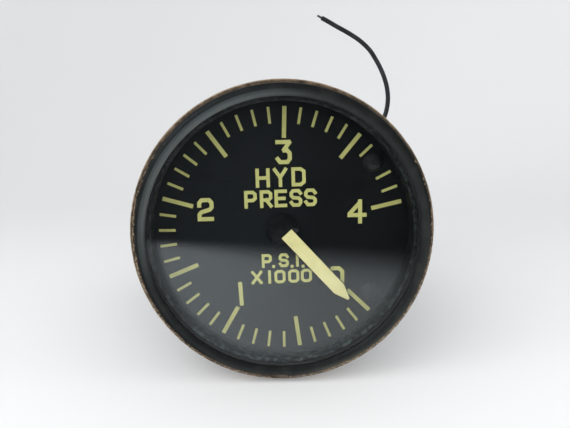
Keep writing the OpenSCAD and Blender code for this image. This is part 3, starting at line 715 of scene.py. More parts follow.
def olivePlating(name, values):
    f = Finish(name)
    patch = f.grain(*values["patch"])
    worn = f.grain(*values["worn"]).above(*values["wornLimits"])
    colour = f.blended(patch, values["dark"], values["light"])
    return f.shaded({
        "Base Color": f.blended(worn * 0.6, colour, values["wornColour"]),
        "Metallic": 0.55 + worn * 0.3,
        "Roughness": 0.46 - worn * 0.12,
        "Normal": f.bump(patch + worn, values["relief"]),
    })


finishes = {
    "bezel": blackEnamel("bezel_enamel", bezelEnamelValues, bezelWearValues, paintedSheenValues),
    "case": blackEnamel("case_enamel", enamelValues),
    "cover": blackEnamel("cover_enamel", enamelValues, coverWearValues),
    "rim": wornBrass("rim_brass", rimBrassValues),
    "key": bareMetal("key_metal", (0.3, 0.25, 0.19), (0.14, 0.11, 0.08), 0.6, soil=0.7),
    "glass": paneGlass("pane", paneValues),
    "rubber": mouldedPlastic("black_rubber", (0.018, 0.018, 0.018), (0.03, 0.03, 0.029), 0.62, 2),
    "spacer": crinkleBlack("spacer_black", crinkleValues),
    "dial": dialBlack("dial_black", dialPaintValues),
    # the scale's marks take a darker copy of the letters' luminous paint: painted shade
    "lume": lumePaint("scale_paint_shaded", (0.51, 0.495, 0.165), (0.42, 0.405, 0.13)),
    "letters": lumePaint("letter_paint", (0.58, 0.565, 0.195), (0.5, 0.485, 0.16)),
    "pointer": lumePaint("pointer_paint", (0.82, 0.75, 0.36), (0.73, 0.66, 0.29)),
    "hub": glossBlack("hub_black", hubValues),
    "screwBlack": mouldedPlastic("screw_black", (0.004, 0.0042, 0.0045), (0.009, 0.0095, 0.01), 0.36, 0.8),
    "steel": bareMetal("screw_steel", (0.5, 0.5, 0.5), (0.38, 0.38, 0.38), 0.32, soil=0.5),
    "aluminium": bareMetal("turned_aluminium", (0.62, 0.63, 0.64), (0.5, 0.51, 0.52), 0.36, rings=0.3),
    "brass": bareMetal("turned_brass", (0.62, 0.47, 0.22), (0.48, 0.35, 0.15), 0.33, rings=0.3),
    "sheet": stackedSheet("stacked_sheet", sheetValues),
    "copper": woundWire("enamelled_wire", windingValues),
    "phenolic": mouldedPlastic("red_phenolic", (0.11, 0.03, 0.017), (0.06, 0.016, 0.01), 0.35),
    "insert": mouldedPlastic("black_insert", (0.012, 0.012, 0.011), (0.022, 0.022, 0.02), 0.4),
    "olive": olivePlating("olive_plating", platingValues),
    "gold": bareMetal("contact_gold", (0.8, 0.58, 0.22), (0.66, 0.45, 0.15), 0.25, soil=0.15),
    "insulation": mouldedPlastic("wire_insulation", (0.016, 0.018, 0.02), (0.035, 0.038, 0.042), 0.34, 3),
    "tinned": bareMetal("tinned_strands", (0.5, 0.49, 0.46), (0.34, 0.33, 0.31), 0.38),
}
print("finishes made:", len(finishes))


# lead: short stiff wire from the grommet on the rear cover, up and out past the rim to its cut end
leadValues = {
    "diameter": 1.15,
    "route": [
        (12, 64.8, 12.9), (12, 66, 12.9), (12.4, 67.6, 12.9), (13.5, 69, 12.8), (15, 69.8, 12.6),
        (17, 70, 12.3), (19.5, 70, 11.9), (22, 70, 11.7), (24.4, 70, 11.9), (26.6, 70, 12.7),
        (28.2, 70, 14.2), (29.1, 70, 16), (29.6, 70, 18.2), (29.7, 70, 20.5), (29.4, 70, 22.8),
        (28.7, 70, 25.2), (27.7, 70, 27.5), (26.4, 70, 29.8), (24.8, 70, 32.1), (22.4, 70, 34.3),
        (19.6, 70, 36.1), (16.8, 70, 37.6), (14.3, 70, 39), (12.8, 70, 39.8),
    ],
    "pointsBetween": 5,
    "sides": 20,
}

# bare strands at its cut end: one in the middle, the others laid round it and turned by lay degrees a step
strandValues = {
    "count": 7, "diameter": 0.2, "length": 1.2, "sunk": 0.1, "circle": 0.2, "lay": 40, "steps": 6, "sides": 8,
}


def smoothRoute(points, between):
    # curve through the points, with tangents from their neighbours
    points = [Vector(p) for p in points]
    route = []
    for i in range(len(points) - 1):
        a = points[max(i - 1, 0)]
        b, c = points[i], points[i + 1]
        d = points[min(i + 2, len(points) - 1)]
        for k in range(between):
            t = k / between
            route.append(0.5 * (
                2 * b + (c - a) * t + (2 * a - 5 * b + 4 * c - d) * t * t
                + (3 * b - a - 3 * c + d) * t * t * t
            ))
    route.append(points[-1])
    return route


def tubeAlong(name, route, diameter, sides):
    curve = bpy.data.curves.new(name, "CURVE")
    curve.dimensions = "3D"
    curve.bevel_depth = diameter / 2 * mm
    curve.bevel_resolution = sides // 2 - 1
    curve.use_fill_caps = True
    spline = curve.splines.new("POLY")
    spline.points.add(len(route) - 1)
    for point, place in zip(spline.points, route):
        point.co = (*(place * mm), 1)
    tube = bpy.data.objects.new(name, curve)
    bpy.context.collection.objects.link(tube)
    pick(tube)
    bpy.ops.object.convert(target="MESH")
    tube = bpy.context.object
    tube.data.name = name
    cleanUp(tube)
    return tube


def addLead(values, strands):
    route = smoothRoute(values["route"], values["pointsBetween"])
    lead = tubeAlong("lead_insulation", route, values["diameter"], values["sides"])
    smooth(lead, 50)
    finishPiece(lead, "gauge_body", finishes["insulation"], "lead_wire")

    end = route[-1]
    along = (route[-1] - route[-2]).normalized()
    across = along.cross(Vector((0, 1, 0))).normalized()
    third = along.cross(across)
    steps = strands["steps"]
    apart = 360 / (strands["count"] - 1)
    wires = []
    for i in range(strands["count"]):
        ring = 0 if i == 0 else strands["circle"]
        path = []
        for k in range(steps + 1):
            angle = math.radians(i * apart + strands["lay"] * k)
            out = across * math.cos(angle) + third * math.sin(angle)
            reach = strands["length"] * k / steps - strands["sunk"] * (steps - k) / steps
            path.append(end + along * reach + out * ring)
        wires.append(tubeAlong("strand", path, strands["diameter"], strands["sides"]))
    core = joined("lead_strands", wires)
    smooth(core, 50)
    finishPiece(core, "gauge_body", finishes["tinned"], "wire_core")
    return lead, core, route


lead, leadStrands, leadRoute = addLead(leadValues, strandValues)
leadLength = sum((b - a).length for a, b in zip(leadRoute, leadRoute[1:])) * mm
print("lead made, %.4f m long" % leadLength)


# rubber grommet on the rear cover, ribbed like a strain relief
grommetValues = {
    "centre": (12.02, 12.89),
    "profile": [
        (0.615, 61.05), (0.615, 64.8, 0.1), (0.975, 64.8, 0.12), (1.25, 64.25, 0.08), (1.12, 64.15, 0.05),
        (1.16, 63.95, 0.05), (1.5, 63.65, 0.08), (1.36, 63.5, 0.05), (1.42, 63.3, 0.05), (1.85, 62.95, 0.08),
        (1.75, 62.8, 0.05), (2.1, 62.6, 0.1), (2.5, 62.5, 0.2), (2.5, 61.6, 0.1), (1.475, 61.6),
        (1.475, 59.4), (0.615, 59.4),
    ],
}
grommet = turned("lead_gland", grommetValues["profile"], centre=grommetValues["centre"], segments=64, steps=3)
smooth(grommet, 40)
finishPiece(grommet, "gauge_body", finishes["rubber"], "lead_grommet")
[tuple(p * mm) for p in leadRoute]
print("grommet made")


# rim, bezel ring and glass
rimValues = {
    "outer": 25.4, "inner": 23.44, "thickness": 1.4, "rounding": 0.28, "relief": 0.3, "reliefRadius": 23.84,
    "dents": {"depth": 0.09, "size": 1.1, "seed": 3.0}, "dentWidth": 0.4,
}
bezelValues = {
    "foot": 24.8, "opening": 22.7, "glassSeat": 23.39, "back": -1.4, "seat": -3.0, "front": -3.8,
    "drop": 0.5, "faceSteps": 18, "footRounding": 0.1, "outerRounding": 0.07, "innerRounding": 0.06,
    "dents": {"depth": 0.05, "size": 1.6, "seed": 8.0}, "dentDepth": 0.6, "dentShare": 0.4,
}
keyValues = {
    "length": 3.0, "width": 0.8, "front": -3.32, "gap": 0.04, "angle": 1.6, "bevel": 0.1, "ends": 0.96,
    "notchFront": -5, "notchBack": -1,
}
glassValues = {"radius": 23.35, "front": -3.0, "back": -1.6, "chamfer": 0.12}


def addRim(values):
    rim = turned("rim", [
        (values["inner"], -values["relief"]), (values["reliefRadius"], -values["relief"]),
        (values["reliefRadius"], 0), (values["outer"], 0, values["rounding"]),
        (values["outer"], -values["thickness"], values["rounding"]), (values["inner"], -values["thickness"]),
    ], segments=288, steps=4)
    dentFrom = values["outer"] - values["dentWidth"]
    dent(rim, values["dents"], lambda p: 1 if math.hypot(p.x, p.z) > dentFrom else 0)
    smooth(rim)
    finishPiece(rim, "gauge_body", finishes["rim"], "rim_flange")


def keyBar(name, values, key, gap, front, back):
    # a bar with half-round ends at the bottom of the bezel, turned to its place
    place = -values["foot"] + key["width"] / 2
    half = key["width"] / 2 + gap
    reach = key["length"] / 2 + gap
    bar = box(name, (-reach, front, place - half), (reach, back, place + half))
    bevelAlongDepth(bar, half * key["ends"])
    bar.rotation_euler = (0, math.radians(key["angle"]), 0)
    applyPlace(bar)
    return bar


def addBezel(values, key):
    # the face is an arc that falls by the same drop to both edges
    front, low = values["front"], values["front"] + values["drop"]
    half = (values["foot"] - values["opening"]) / 2
    middle = values["opening"] + half
    crown = (half ** 2 + values["drop"] ** 2) / (2 * values["drop"])
    face = []
    for i in range(1, values["faceSteps"]):
        across = half * (1 - 2 * i / values["faceSteps"])
        face.append((middle + across, front + crown - math.sqrt(crown ** 2 - across ** 2)))
    bezel = turned("bezel", [
        (values["glassSeat"], values["back"]),
        (values["foot"], values["back"], values["footRounding"]),
        (values["foot"], low, values["outerRounding"]),
        *face,
        (values["opening"], low, values["innerRounding"]),
        (values["opening"], values["seat"]),
        (values["glassSeat"], values["seat"]),
    ], segments=288, steps=4)
    dentTo = values["seat"] + values["dentDepth"]
    dent(bezel, values["dents"], lambda p: 1 if p.y < dentTo else values["dentShare"])
    notch = keyBar("notch", values, key, key["gap"], key["notchFront"], key["notchBack"])
    combined(bezel, notch, "DIFFERENCE")
    smooth(bezel, 30)
    finishPiece(bezel, "gauge_body", finishes["bezel"], "bezel_ring")

    bar = keyBar("key", values, key, 0, key["front"], values["back"])
    roundEdges(bar, key["bevel"])
    smooth(bar)
    finishPiece(bar, "gauge_body", finishes["key"], "rim_key")


def addGlass(values):
    edge = values["chamfer"]
    pane = turned("glass", [
        (0, values["front"]), (values["radius"] - edge, values["front"]),
        (values["radius"], values["front"] + edge), (values["radius"], values["back"] - edge),
        (values["radius"] - edge, values["back"]), (0, values["back"]),
    ], closed=False)
    smooth(pane, 30)
    finishPiece(pane, "gauge_body", finishes["glass"], "cover_glass")


addRim(rimValues)
addBezel(bezelValues, keyValues)
addGlass(glassValues)
print("rim, bezel and glass made")


# spacer ring behind the glass, seen as the dark inner wall
spacerValues = {"profile": [(22.56, -1.2), (22.56, 3.0), (21.9, 3.0), (21.9, -1.2, 0.15)]}
spacer = turned("spacer", spacerValues["profile"], steps=3)
smooth(spacer)
finishPiece(spacer, "gauge_body", finishes["spacer"], "spacer_ring")
print("spacer ring made")


# screws: the head is turned, and a slot is cut across it
dialScrewValues = {
    "circle": 19.2, "angle": 36.5, "seat": 3.0, "upperTurn": 35, "lowerTurn": -62,
    "head": [(0, -0.8), (0.55, -0.77, 0.8), (1.2, -0.55, 0.9), (1.75, -0.12, 0.08), (1.72, 0)],
    "shank": 0.8, "length": 2.8,
    "slot": {"width": 0.36, "from": -1.5, "to": -0.42, "edge": 0.03},
}
rearScrewValues = {
    "head": [(0, 0.8), (1.1, 0.8, 0.5), (1.5, 0.62, 0.22), (1.5, 0, 0.05)],
    "shank": 0.8, "hole": 0.84, "seed": 7,
    "slot": {"width": 0.42, "from": 0.38, "to": 1.5, "edge": 0.04},
    "cover": {"count": 3, "circle": 20.6, "seat": 61.6, "length": 5.6},
    "flange": {"half": 8, "seat": 63.2, "length": 3.2},
}


def slottedScrew(name, values, end):
    # the shank ends at the depth end, and the blade that cuts the slot reaches past the head on both sides
    shank = values["shank"]
    profile = values["head"] + [(shank, 0), (shank, end), (0, end)]
    screw = turned(name, profile, closed=False, segments=48, steps=4)
    slot = values["slot"]
    half = slot["width"] / 2
    reach = 5
    blade = box("blade", (-reach, slot["from"], -half), (reach, slot["to"], half))
    combined(screw, blade, "DIFFERENCE")
    roundEdges(screw, slot["edge"], 2, 50)
    smooth(screw)
    return screw


def addDialScrews(values):
    screw = slottedScrew("dial_screw", values, values["length"])
    places = []
    for side, turn in ((1, values["upperTurn"]), (-1, values["lowerTurn"])):
        angle = math.radians(side * values["angle"])
        x = values["circle"] * math.cos(angle)
        z = values["circle"] * math.sin(angle)
        places.append((x, values["seat"], z, turn))
    screws = copiesAt("dial_fixings", screw, places)
    finishPiece(screws, "gauge_body", finishes["screwBlack"], "dial_screws")


def addRearScrews(name, node, places, values, fixing):
    # each screw's slot is left at an angle of its own
    screw = slottedScrew(name, values, -fixing["length"])
    turns = random.Random(len(places) * values["seed"])
    spots = [(x, fixing["seat"], z, turns.uniform(0, 180)) for x, z in places]
    screws = copiesAt(name, screw, spots)
    finishPiece(screws, "gauge_body", finishes["steel"], node)


coverFixing = rearScrewValues["cover"]
flangeFixing = rearScrewValues["flange"]
coverScrewPlaces = around(coverFixing["count"], coverFixing["circle"])
flangeSides = (-flangeFixing["half"], flangeFixing["half"])
flangeScrewPlaces = [(x, z) for x in flangeSides for z in flangeSides]
addDialScrews(dialScrewValues)
addRearScrews("cover_fixings", "cover_screws", coverScrewPlaces, rearScrewValues, coverFixing)
addRearScrews("connector_fixings", "connector_screws", flangeScrewPlaces, rearScrewValues, flangeFixing)
print("screws made")


# pointer: black blade with a domed hub, a strip of luminous paint, and the collar behind the hub
pointerValues = {
    "direction": 47.1, "start": 1.0, "shoulder": 14.4, "tip": 16.9, "width": 2.3, "tipWidth": 0.4,
    "border": 0.12, "blade": (2.0, 2.3), "strip": (1.85, 2.0), "hub": 2.8, "hubBack": 2.7,
    "domeTop": 1.934, "domeRadius": 7.0, "domeSteps": 12, "bore": 0.84, "boreTop": 2.234,
    "collar": 1.45, "collarBack": 3.4,
    "domeEdge": 0.06, "hubEdge": 0.05, "bladeEdge": 0.03, "stripEdge": 0.05, "collarEdge": 0.1,
    "boreEdge": 0.06,
}


def taperedBar(name, start, shoulder, tip, width, tipWidth, front, back):
    # a cube whose end face is extruded and narrowed to the tip
    bar = box(name, (start, front, -width / 2), (shoulder, back, width / 2))
    pick(bar)
    bpy.ops.object.mode_set(mode="EDIT")
    bpy.ops.mesh.select_mode(type="FACE")
    bpy.ops.mesh.select_all(action="DESELECT")
    mesh = bmesh.from_edit_mesh(bar.data)
    for face in mesh.faces:
        face.select = face.normal.x > 0.9
    bmesh.update_edit_mesh(bar.data)
    bpy.ops.mesh.extrude_region_move(TRANSFORM_OT_translate={"value": ((tip - shoulder) * mm, 0, 0)})
    middle = Vector((tip, (front + back) / 2, 0)) * mm
    bpy.ops.transform.resize(value=(1, 1, tipWidth / width), center_override=middle)
    bpy.ops.object.mode_set(mode="OBJECT")
    return bar


def turnPointer(piece, values):
    piece.rotation_euler = (0, math.radians(values["direction"]), 0)
    applyPlace(piece)


def addPointer(values):
    border = values["border"]
    front, back = values["blade"]
    blade = taperedBar(
        "blade", 0, values["shoulder"], values["tip"] + border, values["width"] + 2 * border,
        values["tipWidth"] + border, front, back,
    )
    dome = []
    for i in range(values["domeSteps"] + 1):
        radius = values["hub"] * i / values["domeSteps"]
        drop = values["domeRadius"] - math.sqrt(values["domeRadius"] ** 2 - radius ** 2)
        dome.append((radius, values["domeTop"] + drop))
    dome[-1] = (*dome[-1], values["domeEdge"])
    hub = turned("hub", dome + [
        (values["hub"], values["hubBack"], values["hubEdge"]), (values["bore"], values["hubBack"]),
        (values["bore"], values["boreTop"]), (0, values["boreTop"]),
    ], closed=False, segments=96, steps=3)
    combined(blade, hub, "UNION")
    roundEdges(blade, values["bladeEdge"], 2, 50)
    turnPointer(blade, values)
    blade.name = "pointer_plate"
    smooth(blade)
    finishPiece(blade, "pointer_and_rotor", finishes["hub"], "pointer_blade")

    front, back = values["strip"]
    strip = taperedBar(
        "strip", values["start"], values["shoulder"], values["tip"], values["width"], values["tipWidth"],
        front, back,
    )
    roundEdges(strip, values["stripEdge"], 3, 50)
    turnPointer(strip, values)
    strip.name = "pointer_paint_strip"
    smooth(strip, 50)
    finishPiece(strip, "pointer_and_rotor", finishes["pointer"], "pointer_strip")

    collar = turned("pointer_collar", [
        (values["bore"], values["hubBack"]), (values["collar"], values["hubBack"], values["hubEdge"]),
        (values["collar"], values["collarBack"], values["collarEdge"]),
        (values["bore"], values["collarBack"], values["boreEdge"]),
    ], segments=96, steps=3)
    smooth(collar)
    finishPiece(collar, "pointer_and_rotor", finishes["hub"], "pointer_hub")


addPointer(pointerValues)
print("pointer made")


# rear cover with its step
coverValues = {
    "profile": [
        (6.34, 58.8), (17.8, 58.8), (17.8, 60), (23.8, 60), (23.8, 61.6, 0.45), (16.6, 61.6, 0.1),
        (16.4, 61.45, 0.1), (6.34, 61.45),
    ],
    "grommetHole": 1.515, "drillFrom": 50, "drillTo": 70,
}
cover = turned("rear_plate", coverValues["profile"], steps=4)
drillReach = (coverValues["drillFrom"], coverValues["drillTo"])
drill(cover, coverScrewPlaces + flangeScrewPlaces, rearScrewValues["hole"], *drillReach)
drill(cover, [grommetValues["centre"]], coverValues["grommetHole"], *drillReach)
smooth(cover)
finishPiece(cover, "gauge_body", finishes["cover"], "rear_cover")
print("rear cover made")


# connector: a square flange with a threaded shell, the insert in it and its contact pins
connectorValues = {
    "side": 20, "front": 61.6, "back": 63.2, "corner": 2, "edge": 0.2, "sunk": 0.3,
    "end": 72.2, "outer": 7.5, "bore": 6.3, "core": 5.5, "mouth": 3, "boreShort": 0.5,
    "drillFrom": 55, "drillTo": 70, "endRounding": 0.25, "mouthRounding": 0.15,
    "threadFrom": 65.2, "threadTo": 71.4, "pitch": 0.9, "threadDepth": 0.42, "startRounding": 0.1,
    "root": 0.4, "rootRounding": 0.06, "crest": 0.9, "crestRounding": 0.05,
    "ribWidth": 0.9, "ribFrom": 64.0, "ribShort": 0.9, "ribLow": 5.7, "ribHigh": 6.6, "ribEdge": 0.12,
}
insertValues = {
    "profile": [(0, 60), (6.26, 60), (6.26, 66.2, 0.3), (5.5, 66.2, 0.1), (5.3, 66.05, 0.1), (0, 66.05)],
    "gap": 0.04, "notchLow": (-0.5, 62.5, 5.6), "notchHigh": (0.5, 67, 7), "notchEdge": 0.1,
}
pinValues = {
    "count": 5, "circle": 4.3, "radius": 0.5, "tip": 0.22, "front": 58.5, "end": 70.7, "taper": 0.5,
    "footRounding": 0.1, "taperRounding": 0.3, "tipRounding": 0.2,
}


def addConnector(values):
    half = values["side"] / 2
    flange = box("flange", (-half, values["front"], -half), (half, values["back"], half))
    bevelAlongDepth(flange, values["corner"])
    roundEdges(flange, values["edge"], 2, 60)

    # the shell's profile with its thread; the core is drilled out afterwards
    outer, end, pitch = values["outer"], values["end"], values["pitch"]
    front = values["front"] + values["sunk"]
    depth = values["threadFrom"]
    start = values["startRounding"]
    corners = [(values["core"], front), (outer, front), (outer, depth - start, start)]
    while depth + pitch <= values["threadTo"]:
        root = depth + pitch * values["root"]
        corners.append((outer - values["threadDepth"], root, values["rootRounding"]))
        corners.append((outer, depth + pitch * values["crest"], values["crestRounding"]))
        depth += pitch
    corners += [(outer, end, values["endRounding"]), (values["bore"], end, values["mouthRounding"])]
    corners += [(values["bore"], end - values["mouth"]), (values["core"], end - values["mouth"])]
    shell = turned("shell", corners, segments=128, steps=2)
    combined(flange, shell, "UNION")
    drill(flange, [(0, 0)], values["bore"], values["drillFrom"], end - values["boreShort"], 128)
    drill(flange, flangeScrewPlaces, rearScrewValues["hole"], values["drillFrom"], values["drillTo"])
    halfRib = values["ribWidth"] / 2
    ribLow = (-halfRib, values["ribFrom"], values["ribLow"])
    ribHigh = (halfRib, end - values["ribShort"], values["ribHigh"])
    combined(flange, box("rib", ribLow, ribHigh, values["ribEdge"]), "UNION")
    flange.name = "connector_body"
    smooth(flange, 32)
    finishPiece(flange, "gauge_body", finishes["olive"], "connector_shell")


def addInsert(values, pin, drillFrom, drillTo):
    places = around(pin["count"], pin["circle"], 90)
    insert = turned("insert", values["profile"], closed=False, segments=96, steps=3)
    drill(insert, places, pin["radius"] + values["gap"], drillFrom, drillTo, 24)
    notch = box("insertNotch", values["notchLow"], values["notchHigh"], values["notchEdge"])
    combined(insert, notch, "DIFFERENCE")
    insert.name = "connector_block"
    smooth(insert)
    finishPiece(insert, "gauge_body", finishes["insert"], "connector_insert")

    contact = turned("pin", [
        (0, pin["front"]), (pin["radius"], pin["front"], pin["footRounding"]),
        (pin["radius"], pin["end"] - pin["taper"], pin["taperRounding"]),
        (pin["tip"], pin["end"], pin["tipRounding"]), (0, pin["end"]),
    ], closed=False, segments=24, steps=3)
    contacts = copiesAt("contacts", contact, [(x, 0, z, 0) for x, z in places])
    smooth(contacts)
    finishPiece(contacts, "gauge_body", finishes["gold"], "connector_pins")


addConnector(connectorValues)
addInsert(insertValues, pinValues, connectorValues["drillFrom"], connectorValues["drillTo"])
print("connector made")


# finishes on the CAD nodes that keep their own shape
nodeFinishes = {
    "case": ["case_body"],
    "rubber": ["glass_gasket"],
    "dial": ["dial_plate"],
    "lume": ["dial_graduations"],
    "letters": ["dial_numerals", "dial_legend"],
    "aluminium": ["dial_posts", "front_plate", "motor_housing", "front_bell", "rear_bell"],
    "steel": ["plate_screws", "motor_screws", "stop_pin", "rotor_shaft"],
    "brass": ["front_bearing", "rear_bearing", "slip_brushes", "slip_rings", "stop_arm"],
    "sheet": ["stator_core", "rotor_core"],
    "copper": ["stator_winding", "rotor_winding"],
    "phenolic": ["brush_block", "slip_ring_hub"],
}


def paintNodes(groups):
    for finish, names in groups.items():
        for name in names:
            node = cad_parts[name]
            for place in node.material_slots:
                place.material = finishes[finish]


paintNodes(nodeFinishes)
print("CAD nodes painted")


# studio: pale floor that sweeps up behind, soft light, and what the glass and the gloss reflect
floorValues = {
    "height": -25.45, "tilt": 1.5, "front": -700, "sweepFrom": 160, "sweepRadius": 260, "sweepSteps": 16,
    "wallTop": 900, "halfWidth": 900,
    "colour": (0.78, 0.78, 0.78), "shade": (90, 3, 0.5), "shadeDim": 0.93, "shadeShare": 0.25,
    "cornerFrom": 100, "cornerTo": 500, "cornerDim": 0.8, "cornerShare": 0.8,
    "roughness": 0.9, "glow": 0.02, "frontGlow": 0.2, "glowFrom": -40, "glowTo": 150,
}
worldValues = {"colour": (0.96, 0.98, 1.0), "level": 0.84}
lampValues = {
    "key_light": {"place": (-0.5, -0.6, 0.5), "size": 0.9, "power": 3.6},
    "fill_light": {"place": (0.1, -0.95, 0.35), "size": 0.6, "power": 2.0},
}


def floorPaint(values):
    # matt and pale, with painted shade that makes the far left corner a little darker; its glow shows only to
    # the eye and in reflections
    f = Finish("floor_pale")
    shade = f.grain(*values["shade"]) * values["shadeShare"]
    colour = f.blended(shade, values["colour"], dimmed(values["colour"], values["shadeDim"]))
    # painted shade: the far left corner is darker
    corner = (f.y - f.x).above(values["cornerFrom"] * mm, values["cornerTo"] * mm) * values["cornerShare"]
    colour = f.blended(corner, colour, dimmed(values["colour"], values["cornerDim"]))
    path = f.add("ShaderNodeLightPath")
    shown = Signal(f, path.outputs["Is Camera Ray"])
    for ray in ("Is Glossy Ray", "Is Transmission Ray"):
        shown = shown.most(path.outputs[ray])
    near = 1 - (f.y / mm).above(values["glowFrom"], values["glowTo"])
    glow = values["glow"] + near * (values["frontGlow"] - values["glow"])
    return f.shaded({
        "Base Color": colour,
        "Roughness": values["roughness"],
        "Specular IOR Level": 0.0,
        "Emission Color": f.blended(shown * glow, (0, 0, 0), (1, 1, 1)),
        "Emission Strength": 1.0,
    })


def floorHeightAt(y, values):
    return values["height"] + y * math.tan(math.radians(values["tilt"]))


def addFloor(values):
    # a strip extruded backwards, up through an arc and on up the wall
    path = [(y, floorHeightAt(y, values)) for y in (values["front"], values["sweepFrom"])]
    radius = values["sweepRadius"]
    y0, z0 = path[-1]
    for k in range(values["sweepSteps"]):
        angle = math.radians(90 * (k + 1) / values["sweepSteps"])
        path.append((y0 + radius * math.sin(angle), z0 + radius * (1 - math.cos(angle))))
    path.append((path[-1][0], values["wallTop"]))
    deselectAll()
    bpy.ops.mesh.primitive_plane_add(size=2, location=(0, 0, 0))
    floor = bpy.context.object
    floor.name = "floor"
    floor.scale = (values["halfWidth"] * mm, 1, 1)
    applyPlace(floor)
    bpy.ops.object.mode_set(mode="EDIT")
    bpy.ops.mesh.select_all(action="SELECT")
    bpy.ops.mesh.delete(type="ONLY_FACE")
    mesh = bmesh.from_edit_mesh(floor.data)
    far = [v for v in mesh.verts if v.co.y > 0]
    bmesh.ops.delete(mesh, geom=far, context="VERTS")
    for vert in mesh.verts:
        vert.co.y = path[0][0] * mm
        vert.co.z = path[0][1] * mm
        vert.select = True
    mesh.select_flush(True)
    bmesh.update_edit_mesh(floor.data)
    for a, b in zip(path, path[1:]):
        step = (0, (b[0] - a[0]) * mm, (b[1] - a[1]) * mm)
        bpy.ops.mesh.extrude_region_move(TRANSFORM_OT_translate={"value": step})
    bpy.ops.object.mode_set(mode="OBJECT")
    cleanUp(floor)
    smooth(floor, 40)
    floor.data.materials.append(floorPaint(values))


def addWorld(values):
    world = bpy.data.worlds.new("studio")
    bpy.context.scene.world = world
    world.use_nodes = True
    light = world.node_tree.nodes["Background"]
    light.inputs["Color"].default_value = asColour(values["colour"])
    light.inputs["Strength"].default_value = values["level"]


def addLamp(name, values):
    # a round lamp that faces the gauge
    turn = (-Vector(values["place"])).to_track_quat("-Z", "Y").to_euler()
    bpy.ops.object.light_add(type="AREA", location=values["place"], rotation=turn)
    lamp = bpy.context.object
    lamp.name = name
    lamp.data.shape = "DISK"
    lamp.data.size = values["size"]
    lamp.data.energy = values["power"]
    lamp.visible_glossy = False


# cards that only reflections show: darkness before, above and beside the gauge, and a small bright pane
cardValues = {
    "colour": (0.006, 0.006, 0.007), "mottle": (60, 3, 0.5), "roughness": 0.95,
    "lowFrom": -45, "lowTo": 90, "lowLeft": -5, "lowRight": 60,
    "wall": [(-350, -330, -45), (350, -330, -45), (350, -330, 350), (-350, -330, 350)],
    "ceiling": [(-350, -330, 350), (350, -330, 350), (350, 110, 350), (-350, 110, 350)],
    "right": [(95, -150, -30), (330, 120, -30), (330, 120, 300), (95, -150, 300)],
    "left": [(-150, -330, -45), (-150, 20, -45), (-150, 20, 300), (-150, -330, 300)],
}
windowValues = {
    "colour": (0.75, 0.9, 1.0), "level": 5.0, "mottle": (50, 2, 0.5), "dim": 0.7, "share": 0.5,
    "corners": [(-145, -190, 90), (-145, -90, 90), (-145, -90, 190), (-145, -190, 190)],
}

# the lit table as the glass shows it: bright before a slanted soft edge, most of all at the left, and dark
# behind it; a sheen far to the right, a bright strip right before the glass, and the shade of the gauge's own
# ring; gap and under are open, at the foot of the rim and under the gauge
tableValues = {
    "lift": 0.4, "front": -330, "back": 150, "half": 330, "level": 3.6,
    "bright": (0.365, 0.4, 0.43), "soft": (0.258, 0.28, 0.29), "dark": (0.001, 0.001, 0.001),
    "brightTo": -18, "softFrom": 20, "mottle": (30, 3, 0.5), "mottleShare": 0.3,
    "glow": (0.015, 0.018, 0.02), "glowTo": -5, "darkFrom": 30,
    "edgeAt": -87, "edgeSlope": 1.0, "fadeAt": 46, "fadeSlope": 0.75, "fadeLeast": 8,
    "viewAt": 30, "viewSlope": 0.22, "viewBlend": 8, "leftAt": -8.5, "leftSlope": 0.24, "leftBlend": 5,
    "rightFrom": 75, "rightTo": 95, "rightBack": -40, "rightBlend": 20,
    "sheen": (1.0, 1.0, 0.98), "sheenFrom": 40, "sheenTo": 95, "sheenBack": -42,
    "sheenBlend": 6, "sheenEnd": 15, "sheenFade": 10, "beyondDim": 0.15,
    "strip": (0.62, 0.62, 0.52), "stripFrom": -12.5, "stripTo": -11,
    "stripLeft": (2, 10), "stripRight": (45, 55),
    "gapFrom": -9, "gapTo": -7, "gapRight": (0, 8), "underFrom": -4, "underTo": -3, "underSide": (60, 70),
}

# where a point of the table shows on the glass: the eye's place by the glass, and the shaded ring there
glassViewValues = {
    "front": 3, "eyeAway": 129, "eyeLeft": 6, "eyeRise": 22.6, "eyeDrop": 25.1,
    "ringInner": (19.8, 21.4), "ringOuter": (22.6, 23.4), "ringShade": 0.62,
}


def card(name, corners, material):
    # a plane whose corners are moved to their places
    deselectAll()
    bpy.ops.mesh.primitive_plane_add(size=1, location=(0, 0, 0))
    piece = bpy.context.object
    piece.name = name
    order = (0, 1, 3, 2)
    for vert, place in zip([piece.data.vertices[i] for i in order], corners):
        vert.co = Vector(place) * mm
    piece.data.materials.append(material)
    piece.visible_camera = False
    piece.visible_diffuse = False
    piece.visible_shadow = False


def cardBlack(values, table):
    # black, with the faint light of the table on the lowest part at the left
    f = Finish("card_black")
    colour = f.blended(f.grain(*values["mottle"]), values["colour"], dimmed(values["colour"], 2))
    low = 1 - (f.z / mm).above(values["lowFrom"], values["lowTo"])
    low = low * (1 - (f.x / mm).above(values["lowLeft"], values["lowRight"]))
    return f.shaded({
        "Base Color": colour,
        "Roughness": values["roughness"],
        "Emission Color": f.blended(low, (0, 0, 0), table["glow"]),
        "Emission Strength": table["level"],
    })


def windowLight(values):
    f = Finish("window_light")
    mottle = f.grain(*values["mottle"]) * values["share"]
    return f.shaded({
        "Base Color": asColour((0, 0, 0)),
        "Emission Color": f.blended(mottle, values["colour"], dimmed(values["colour"], values["dim"])),
        "Emission Strength": values["level"],
    })


